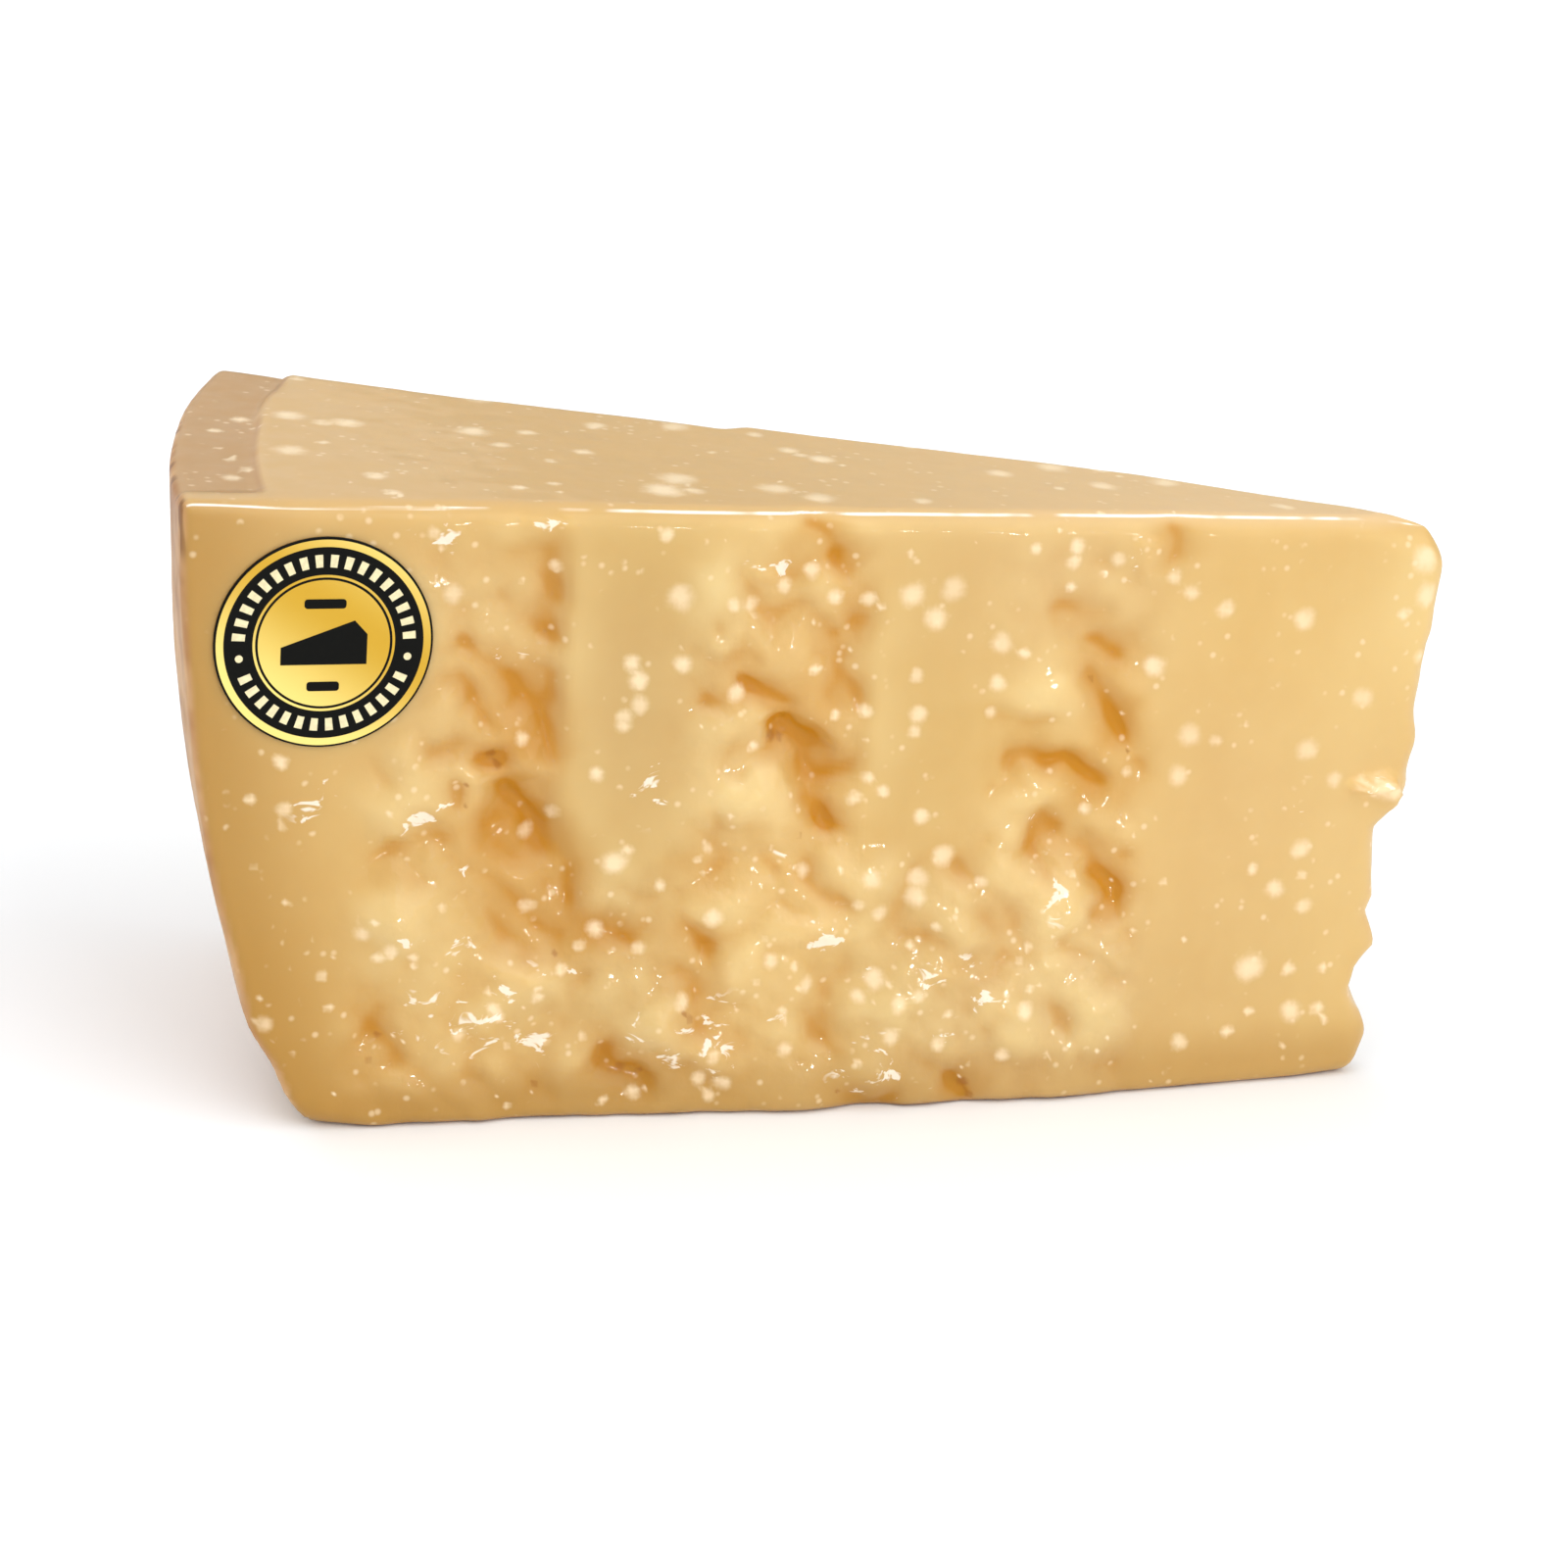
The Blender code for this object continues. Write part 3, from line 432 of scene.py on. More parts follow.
# Camera and film, fitted to the photograph: degrees and millimetres in the part's frame
CAMERA_PLACE = (-69.2, -552.6, 253.6)
CAMERA_YAW = 6.90
CAMERA_PITCH = 20.24
CAMERA_ROLL = 4.82
SENSOR_WIDTH = 36.0
LENS = 81.0

# Lights: name, degrees to the right of straight in front, degrees up, share and spread
LIGHTS = (
    ("key", 52.0, 34.0, 0.335, 60.0),
    ("front", 11.0, 20.0, 0.13, 70.0),
    ("left", -75.0, 48.0, 0.33, 80.0),
    ("overhead", 0.0, 80.0, 0.35, 100.0),
    ("spark", 30.0, 4.0, 0.095, 4.0),
    ("rear", 200.0, 30.0, 0.11, 50.0),
)
SKY = 0.32


def smooth_step(value):
    """Ease from 0 to 1 as the value goes from 0 to 1."""
    value = np.clip(value, 0.0, 1.0)
    return value * value * (3.0 - 2.0 * value)


def round_min(first, second, radius):
    """Meet two inward distances in an edge of the given radius."""
    corner = np.hypot(np.maximum(radius - first, 0.0), np.maximum(radius - second, 0.0))
    return np.maximum(radius, np.minimum(first, second)) - corner


def lattice_noise(across, up, scale, shift):
    """Soft random field from -1 to 1 with the given spacing."""
    across = across / scale + SEED_ACROSS * shift
    up = up / scale + SEED_UP * shift
    column = np.floor(across).astype(int)
    row = np.floor(up).astype(int)
    fx = smooth_step(across - column)
    fy = smooth_step(up - row)
    near = column % LATTICE_SIZE
    far = (column + 1) % LATTICE_SIZE
    low = row % LATTICE_SIZE
    high = (row + 1) % LATTICE_SIZE
    bottom = LATTICE[near, low] * (1 - fx) + LATTICE[far, low] * fx
    top = LATTICE[near, high] * (1 - fx) + LATTICE[far, high] * fx
    return 2.0 * (bottom * (1 - fy) + top * fy) - 1.0


def waves(across, up, kind):
    """Soft waves of one kind: height, spacing and seed."""
    height, spacing, seed = kind
    return height * lattice_noise(across, up, spacing, seed)


def clumps(across, up, spacing, seed):
    """Height from 0 to about 1 of rounded clumps packed side by side, creased where they meet."""
    across = across / spacing
    up = up / spacing
    column = np.floor(across).astype(int)
    row = np.floor(up).astype(int)
    height = np.full(across.shape, -np.inf)
    for step_x in (-1, 0, 1):
        for step_y in (-1, 0, 1):
            cx = column + step_x
            cy = row + step_y
            jitter_x = LATTICE[(cx + seed) % LATTICE_SIZE, cy % LATTICE_SIZE]
            jitter_y = LATTICE[cx % LATTICE_SIZE, (cy + 2 * seed) % LATTICE_SIZE]
            tilt = LATTICE[(cx + 3 * seed) % LATTICE_SIZE, (cy + seed) % LATTICE_SIZE] - 0.5
            dx = across - cx - jitter_x
            dy = up - cy - jitter_y
            dome = 1.0 + CLUMP_UNEVEN * tilt - CLUMP_ROUND * (dx * dx + dy * dy)
            height = np.maximum(height, dome + CLUMP_SLOPE * tilt * (dx - dy))
    return height


def hollow(u, z, depth, gentle, steep, path):
    """Depth of one torn hollow, steep on the left hand of its path and gentle on the right."""
    depth = depth * HOLLOW_DEPTH
    gentle = gentle + HOLLOW_SOFTEN
    steep = steep + HOLLOW_SOFTEN
    legs = [math.dist(a, b) for a, b in zip(path[:-1], path[1:])]
    total = sum(legs)
    nearest = np.full(u.shape, np.inf)
    width = np.full(u.shape, gentle)
    along = np.zeros(u.shape)
    done = 0.0
    for (u0, z0), (u1, z1), leg in zip(path[:-1], path[1:], legs):
        way_u = (u1 - u0) / leg
        way_z = (z1 - z0) / leg
        t = np.clip((u - u0) * way_u + (z - z0) * way_z, 0.0, leg)
        off_u = u - u0 - t * way_u
        off_z = z - z0 - t * way_z
        distance = np.hypot(off_u, off_z)
        side = (way_u * off_z - way_z * off_u) / np.maximum(distance, 1e-6)
        closer = distance < nearest
        nearest = np.where(closer, distance, nearest)
        width = np.where(closer, gentle + (steep - gentle) * (0.5 + 0.5 * side), width)
        along = np.where(closer, (done + t) / total, along)
        done += leg
    taper = 1.0 - TAPER * (2.0 * along - 1.0) ** TAPER_POWER
    core = np.exp(-(nearest / (CORE_WIDTH * width)) ** 2)
    skirt = np.exp(-(nearest / width) ** SKIRT_POWER)
    return depth * taper * (CORE_SHARE * core + (1.0 - CORE_SHARE) * skirt)


def torn_mask(u, z, columns):
    """How torn the side is: 1 in the columns and low down, 0 on the smooth bands."""
    mask = np.zeros(u.shape)
    for left, right, _, wall_width in columns:
        rise = smooth_step((u - left + 0.5 * COLUMN_FADE) / COLUMN_FADE)
        wall = smooth_step((right - u) / wall_width + 0.5)
        mask = np.maximum(mask, rise * wall)
    low = smooth_step((BROKEN_TOP - z) / BROKEN_FADE + 0.5)
    low = low * smooth_step((SMOOTH_NOSE_FROM - u) / LOW_WALL + 0.5)
    mask = np.maximum(mask, low)
    mask = mask * smooth_step((u - SMOOTH_RIND_TO) / COLUMN_FADE)
    low_down = TORN_AT_BASE + (1.0 - TORN_AT_BASE) * smooth_step(z / TORN_FADE)
    high_up = 1.0 - TOP_CALM * smooth_step((z - TOP_CALM_FROM) / TORN_FADE)
    return mask * low_down * high_up


def calm_share(u, z):
    """The front's last column is torn less, the more so higher up."""
    onward = smooth_step((u - CALM_FROM) / CALM_FADE)
    higher = smooth_step((z - CALM_ABOVE) / CALM_RISE)
    return 1.0 - CALM_LOSS * onward * higher


def column_dish(u, z, columns):
    """Each column leans inwards from its left end to the wall at its right end."""
    dish = np.zeros(u.shape)
    for left, right, depth, wall_width in columns:
        lean = np.clip((u - left) / (right - left), 0.0, 1.0) ** LEAN_POWER
        lean = lean * smooth_step((right - u) / wall_width + 0.5)
        swell = DISH_EVEN + waves(u, z, (*DISH_WAVES, right))
        dish = np.maximum(dish, depth * lean * swell)
    low_down = smooth_step((z - DISH_LOW) / DISH_LOW_FADE)
    high_up = smooth_step((DISH_HIGH - z) / DISH_HIGH_FADE)
    return dish * low_down * high_up


def hollows_depth(u, z, hollows):
    """Blend hollows so that where they cross the deeper one wins."""
    total = np.zeros(u.shape)
    for depth, gentle, steep, path in hollows:
        total += hollow(u, z, depth, gentle, steep, path) ** BLEND_POWER
    return total ** (1.0 / BLEND_POWER)


def clump_depth(u, z, sizes):
    """Creases between the clumps, as a depth that averages near zero."""
    depth = np.zeros(u.shape)
    for spacing, amount, seed in sizes:
        depth += amount * (CLUMP_MEAN - clumps(u, z, spacing, seed))
    return depth


def smear_depth(u, z, shift):
    """Uneven tearing in soft overlapping lobes that slant down to the right."""
    along = u * math.cos(SMEAR_SLANT) + z * math.sin(SMEAR_SLANT)
    across = z * math.cos(SMEAR_SLANT) - u * math.sin(SMEAR_SLANT)
    depth = np.zeros(u.shape)
    for spacing, amount, seed in SMEARS:
        lobe = lattice_noise(along * SMEAR_STRETCH, across, spacing, seed + shift)
        depth += amount * (0.5 - SMEAR_CREASE * np.abs(lobe))
    return depth


def label_flat(u, z):
    """0 under the label and its margin, 1 away from it."""
    distance = np.hypot(u - LABEL_U, z - LABEL_Z)
    return smooth_step((distance - LABEL_RADIUS - 1.0) / LABEL_MARGIN)


def flake_height(u, z):
    """Height of the half-torn flakes, with ragged, fairly sharp edges."""
    ragged_u = u + waves(u, z, (*FLAKE_RAGGED, 21))
    ragged_z = z + waves(u, z, (*FLAKE_RAGGED, 22))
    height = np.zeros(u.shape)
    for tall, wide, high, at_u, at_z in FLAKES:
        reach = np.hypot((ragged_u - at_u) / wide, (ragged_z - at_z) / high)
        height = np.maximum(height, tall * smooth_step((FLAKE_EDGE - reach) / FLAKE_EDGE_WIDE))
    return height


def warped(along, up, shift):
    """Places on a side, pushed about so that nothing drawn there has a smooth edge."""
    pushed = []
    for place, seed in ((along, shift), (up, shift + 1)):
        coarse = waves(along, up, (WARP, WARP_SCALE, seed))
        fine = waves(along, up, (FINE_WARP, FINE_WARP_SCALE, seed + FINE_WARP_SEED))
        pushed.append(place + coarse + fine)
    return pushed


def front_depth(u, z):
    """How far the front surface lies behind its plane."""
    warped_u, warped_z = warped(u, z, 1)
    torn = torn_mask(u, z, FRONT_COLUMNS) * calm_share(u, z)
    depth = hollows_depth(warped_u, warped_z, FRONT_HOLLOWS)
    depth = depth + column_dish(u, z, FRONT_COLUMNS) + torn * clump_depth(warped_u, warped_z, CLUMPS)
    for height, wide, tall, at_u, at_z in FRONT_LUMPS:
        reach = ((warped_u - at_u) / wide) ** 2 + ((warped_z - at_z) / tall) ** 2
        depth = depth - height * np.exp(-reach)
    bow = np.exp(-((u - BOW_CENTRE) / BOW_REACH) ** 2) * smooth_step(1.0 - z / BOW_TOP)
    depth = depth + waves(u, z, FRONT_WAVES)
    depth = depth + torn * clump_depth(warped_u, warped_z, FINE_CLUMPS)
    depth = depth + torn * smear_depth(warped_u, warped_z, 0)
    depth = depth + waves(u * GRAIN_STRETCH, z, FRONT_GRAIN)
    return (depth - BOW_DEPTH * bow) * label_flat(u, z)


def back_hollows():
    """Torn arcs of the back, the same kind as the front's, laid out by a seeded rule."""
    rng = np.random.default_rng(BACK_SEED)
    arcs = []
    for left, right, _, _ in BACK_COLUMNS:
        span = right - left
        for index in range(BACK_ARCS):
            top = ARC_TOP - ARC_RANGE * (index + rng.uniform(*ARC_JITTER)) / BACK_ARCS
            start = left + span * rng.uniform(0.0, ARC_START)
            end = right - rng.uniform(0.0, ARC_END)
            drop = rng.uniform(*ARC_DROP)
            path = [(start + (end - start) * t, top - drop * t ** ARC_BEND) for t in ARC_STOPS]
            sizes = [rng.uniform(*limits) for limits in (ARC_DEPTH, ARC_GENTLE, ARC_STEEP)]
            arcs.append((*sizes, path))
    return arcs


BACK_HOLLOWS = back_hollows()


def back_depth(v, z):
    """How far the back surface lies inside its plane; v is along it from the rind."""
    warped_v, warped_z = warped(v, z, 5)
    torn = torn_mask(v, z, BACK_COLUMNS)
    depth = hollows_depth(warped_v, warped_z, BACK_HOLLOWS)
    depth = depth * smooth_step((v - SMOOTH_RIND_TO) / COLUMN_FADE)
    depth = depth + column_dish(v, z, BACK_COLUMNS)
    depth = depth + torn * clump_depth(warped_v, warped_z + BACK_CLUMPS_UP, CLUMPS)
    depth = depth + torn * clump_depth(warped_v, warped_z + BACK_CLUMPS_UP, FINE_CLUMPS)
    depth = depth + torn * smear_depth(warped_v, warped_z, 5)
    depth = depth + waves(v * GRAIN_STRETCH, z, BACK_GRAIN)
    swell = smooth_step((v - BACK_STEP_V) / BACK_STEP_WIDTH + 0.5)
    swell = swell * smooth_step((BACK_SWELL_END - v) / BACK_SWELL_FADE)
    return depth - BACK_SWELL * swell + waves(v, z, BACK_WAVES)


def softened(table, reach):
    """A table averaged over a bell of the given reach in millimetres, both ways."""
    half = int(3.0 * reach / TABLE_STEP)
    bell = np.exp(-0.5 * (np.arange(-half, half + 1) * TABLE_STEP / reach) ** 2)
    bell /= bell.sum()
    for axis in (0, 1):
        wide = [(half, half) if axis == side else (0, 0) for side in (0, 1)]
        padded = np.pad(table, wide, mode="edge")
        length = table.shape[axis]
        total = np.zeros(table.shape)
        for index, share in enumerate(bell):
            total += share * np.take(padded, np.arange(index, index + length), axis=axis)
        table = total
    return table


class Relief:
    """A side's relief worked out once on a fine table and read from it between the stations."""

    def __init__(self, depth, hollows, shift):
        self.columns = int((WHEEL_RADIUS + 2 * TABLE_MARGIN) / TABLE_STEP) + 2
        self.rows = int((HEIGHT_AT_RIND + 2 * TABLE_MARGIN) / TABLE_STEP) + 2
        along = np.arange(self.columns) * TABLE_STEP - TABLE_MARGIN
        up = np.arange(self.rows) * TABLE_STEP - TABLE_MARGIN
        self.along, self.up = np.meshgrid(along, up, indexing="ij")
        self.depth = softened(depth(self.along, self.up), RELIEF_SOFTEN)
        self.cavity = self.depth - softened(self.depth, CAVITY_REACH)
        self.crevice = self.depth - softened(self.depth, CREVICE_REACH)
        # Amber shade painted round each hollow, wider than the hollow itself
        wide = []
        for deep, gentle, steep, path in hollows:
            gentle = HOLLOW_SHADE_GENTLE * gentle + HOLLOW_SHADE_GENTLE_MORE
            steep = HOLLOW_SHADE_STEEP * steep + HOLLOW_SHADE_STEEP_MORE
            wide.append((deep ** HOLLOW_SHADE_POWER, gentle, steep, path))
        self.hollow_shade = hollows_depth(*warped(self.along, self.up, shift), wide)

    def raise_flakes(self):
        """Add the half-torn flakes, whose edges aren't softened."""
        self.depth = self.depth - flake_height(self.along, self.up)

    def read(self, table, along, up):
        """A table's values at places on the side."""
        along = np.clip((along + TABLE_MARGIN) / TABLE_STEP, 0.0, self.columns - TABLE_END)
        up = np.clip((up + TABLE_MARGIN) / TABLE_STEP, 0.0, self.rows - TABLE_END)
        column = along.astype(int)
        row = up.astype(int)
        fx = along - column
        fy = up - row
        low = table[column, row] * (1 - fx) + table[column + 1, row] * fx
        high = table[column, row + 1] * (1 - fx) + table[column + 1, row + 1] * fx
        return low * (1 - fy) + high * fy


FRONT_RELIEF = Relief(front_depth, FRONT_HOLLOWS, 1)
FRONT_RELIEF.raise_flakes()
BACK_RELIEF = Relief(back_depth, BACK_HOLLOWS, 5)


def surfaces(x, y, z):
    """Inward distance to each of the surfaces that bound the chunk, with the edge radii."""
    along_front = WHEEL_RADIUS + x * COS_A + y * SIN_A
    along_back = WHEEL_RADIUS + x * COS_A - y * SIN_A
    behind_front = -x * SIN_A + y * COS_A
    front = behind_front - FRONT_RELIEF.read(FRONT_RELIEF.depth, along_front, z)
    back = -x * SIN_A - y * COS_A - BACK_RELIEF.read(BACK_RELIEF.depth, along_back, z)

    radius = np.hypot(x, y)
    inset = HEEL_INSET * np.clip(1.0 - z / HEIGHT_AT_RIND, 0.0, 1.0) ** 2
    inset = inset + HEEL_FOOT * smooth_step((HEEL_FOOT_TOP - z) / HEEL_FOOT_HEIGHT)
    ripple = waves(y, z, RIND_WAVES) + waves(y, z * RIND_GRAIN_STRETCH, RIND_GRAIN)
    rind = WHEEL_RADIUS - inset + ripple - radius

    heights, setbacks = zip(*NOSE_PROFILE)
    broken = waves(y * NOSE_STRETCH, z, NOSE_WAVES) + NOSE_CLUMPS * clump_depth(y, z, FINE_CLUMPS)
    nose = -NOSE_GAP - x - np.interp(z, heights, setbacks) - broken

    slope = (HEIGHT_AT_NOSE - HEIGHT_AT_RIND) / (WHEEL_RADIUS - NOSE_GAP)
    top = HEIGHT_AT_RIND + slope * (x + WHEEL_RADIUS) - z
    past_strip = radius - WHEEL_RADIUS + STRIP_WIDTH + waves(y, x, STRIP_WAVES)
    strip = smooth_step(past_strip / STRIP_STEP + 0.5)
    strip = strip * smooth_step((behind_front - STRIP_FRONT_MARGIN) / STRIP_END_STEP + 0.5)
    top = top - STRIP_DROP * strip + waves(x, y, TOP_WAVES)

    near_nose = smooth_step((along_front - NOSE_EDGE_FROM) / NOSE_EDGE_FADE)
    near_rind = smooth_step((RIND_EDGE_REACH - WHEEL_RADIUS + radius) / RIND_EDGE_FADE)
    near_heel = smooth_step((HEEL_EDGE_REACH - WHEEL_RADIUS + radius) / HEEL_EDGE_FADE)
    top_edge = TOP_EDGE + (TOP_NOSE_EDGE - TOP_EDGE) * near_nose
    top_edge = top_edge + (TOP_RIND_EDGE - TOP_EDGE) * near_rind
    base_edge = BASE_EDGE + (BASE_NOSE_EDGE - BASE_EDGE) * near_nose
    base_edge = base_edge + (BASE_HEEL_EDGE - BASE_EDGE) * near_heel
    return front, back, rind, nose, top, top_edge, base_edge, strip


def inside(x, y, z):
    """Positive inside the chunk, zero on its surface, negative outside."""
    front, back, rind, nose, top, top_edge, base_edge, _ = surfaces(x, y, z)
    body = round_min(front, nose, SIDE_EDGE)
    body = round_min(body, back, SIDE_EDGE)
    body = round_min(body, rind, RIND_EDGE)
    body = round_min(body, top, top_edge)
    return round_min(body, z, base_edge)


def graded(cells, length, fine, share):
    """Stations along one side, with more of them between the two ends of the fine stretch."""
    start, end = fine
    sample = np.linspace(0.0, length, GRADING_SAMPLES)
    weight = np.where((sample > start) & (sample < end), share, 1.0)
    edge = np.minimum(sample, length - sample)
    weight = weight + EDGE_SHARE * np.exp(-(edge / EDGE_FADE) ** 2)
    total = np.concatenate(([0.0], np.cumsum(0.5 * (weight[1:] + weight[:-1]))))
    return np.interp(np.linspace(0.0, total[-1], cells + 1), total, sample)


def grid_box(cells):
    """A cube cut into cells, as a bmesh whose corners lie at 0 and 1."""
    mesh = bmesh.new()
    bmesh.ops.create_cube(mesh, size=1.0)
    bmesh.ops.translate(mesh, verts=mesh.verts, vec=(0.5, 0.5, 0.5))
    for axis in range(3):
        along = []
        for edge in mesh.edges:
            way = edge.verts[1].co - edge.verts[0].co
            if abs(way[axis]) > 0.5:
                along.append(edge)
        bmesh.ops.subdivide_edges(mesh, edges=along, cuts=cells[axis] - 1)
    return mesh


def wrapped_points(share):
    """Where each vertex of the grid meets the surface, sent out along its own ray."""
    steps = np.rint(share * np.array(CELLS)).astype(int)
    along = graded(CELLS[0], WHEEL_RADIUS - NOSE_GAP, DENSE_STRETCH, DENSE_SHARE)[steps[:, 0]]
    across = graded(CELLS[1], ACROSS_LENGTH, (0.0, ACROSS_LENGTH), 1.0)[steps[:, 1]]
    across = 2.0 * across / ACROSS_LENGTH - 1.0
    up = graded(CELLS[2], HEIGHT_AT_RIND, (0.0, HEIGHT_AT_RIND), 1.0)[steps[:, 2]]

    reach = WHEEL_RADIUS - along
    hull_x = -reach * np.cos(across * HALF_ANGLE)
    hull_y = reach * np.sin(across * HALF_ANGLE)
    hull_z = up * (1.0 + (HEIGHT_AT_NOSE / HEIGHT_AT_RIND - 1.0) * along / WHEEL_RADIUS)

    core_end = WHEEL_RADIUS - CORE_FROM_RIND * CORE_DEPTH
    core_reach = np.clip(reach, NOSE_GAP + CORE_DEPTH, core_end)
    half_width = np.maximum(core_reach * SIN_A - CORE_DEPTH, 0.0)
    core_y = np.clip(hull_y, -half_width, half_width)
    core_x = -np.sqrt(np.maximum(core_reach ** 2 - core_y ** 2, 0.0))
    core_z = np.clip(hull_z, CORE_DEPTH, HEIGHT_AT_NOSE - CORE_DEPTH)

    core = np.stack([core_x, core_y, core_z])
    ray = np.stack([hull_x, hull_y, hull_z]) - core
    low = np.zeros(len(share))
    high = np.full(len(share), OVERSHOOT)
    for _ in range(HALVINGS):
        middle = 0.5 * (low + high)
        held = inside(*(core + middle * ray)) > 0.0
        low = np.where(held, middle, low)
        high = np.where(held, high, middle)
    place = core + low * ray
    place[2] = np.where(place[2] < BASE_SNAP, 0.0, place[2])
    return place


def spot_field(first, second, spots):
    """1 at the middle of the nearest spot, a half at its rim and 0 at twice its radius."""
    field = np.zeros(first.shape)
    for at_first, at_second, radius in spots:
        distance = np.hypot(first - at_first, second - at_second)
        field = np.maximum(field, 1.0 - 0.5 * distance / radius)
    return field


def random_spots(rng, count, length, height):
    """Crystals scattered over a side where the photograph shows none in particular."""
    spots = []
    for _ in range(count):
        u = rng.uniform(SPOTS_FROM_U, length)
        z = rng.uniform(SPOTS_FROM_Z, height)
        spots.append((u, z, SPOT_LEAST + SPOT_GROWTH * rng.random() ** SPOT_POWER))
    return spots


def store(data, name, values):
    """Keep one number for each vertex as a named attribute."""
    layer = data.attributes.new(name, "FLOAT", "POINT")
    layer.data.foreach_set("value", np.asarray(values, dtype=np.float32))


def both_sides(on_front, on_back, name, along_front, along_back, z):
    """One table's value from whichever long side the vertex lies on."""
    front = FRONT_RELIEF.read(getattr(FRONT_RELIEF, name), along_front, z)
    back = BACK_RELIEF.read(getattr(BACK_RELIEF, name), along_back, z)
    return on_front * front + on_back * (1.0 - on_front) * back


def tone_field(u, z, tones):
    """Broad soft patches of tone added up."""
    field = np.zeros(u.shape)
    for amount, wide, tall, at_u, at_z in tones:
        field += amount * np.exp(-((u - at_u) / wide) ** 2 - ((z - at_z) / tall) ** 2)
    return field


def all_spots():
    """The crystals of the front, the back and the top: those that were seen, then scattered ones."""
    rng = np.random.default_rng(CRYSTAL_SEED)
    length = WHEEL_RADIUS - NOSE_GAP
    quarter = RANDOM_CRYSTALS // 4
    front = list(FRONT_CRYSTALS) + random_spots(rng, quarter, length, SPOTS_TO_Z)
    front += random_spots(rng, quarter, SMOOTH_NOSE_FROM, BROKEN_TOP)
    back = random_spots(rng, 2 * quarter, length, SPOTS_TO_Z)
    for u, z, radius in FRONT_CRYSTALS:
        back.append((BACK_SPOT_SCALE * u + BACK_SPOT_SHIFT, BACK_SPOT_HEIGHT - z, radius))
    top = [(u, behind, TOP_CRYSTAL_GROWTH * radius) for u, behind, radius in TOP_CRYSTALS]
    top += random_spots(rng, quarter, length, SPOTS_TO_TOP)
    return front, back, top


def wheel_places(x, y):
    """Along the front and along the back from the rind, and the distance behind the front."""
    along_front = WHEEL_RADIUS + x * COS_A + y * SIN_A
    along_back = WHEEL_RADIUS + x * COS_A - y * SIN_A
    return along_front, along_back, -x * SIN_A + y * COS_A


def crust_and_shade_share(rind, along_front, z):
    """How much darker the paste is made near the rind and, less so towards the nose, near the base: real
    darker paste close to the rind, with painted shade in the long tail from the rind.
    """
    share, reach = CRUST_NEAR
    far_share, far_reach = RIND_SHADE_TAIL
    near_rind = share * smooth_step(1.0 - rind / reach) + far_share * smooth_step(1.0 - rind / far_reach)
    near_base = smooth_step((CRUST_BASE_TOP - z) / CRUST_BASE_FADE)
    onward = smooth_step(along_front / CRUST_BASE_LENGTH)
    return np.maximum(near_rind, near_base * (CRUST_BASE_SHARE - CRUST_BASE_LOSS * onward))


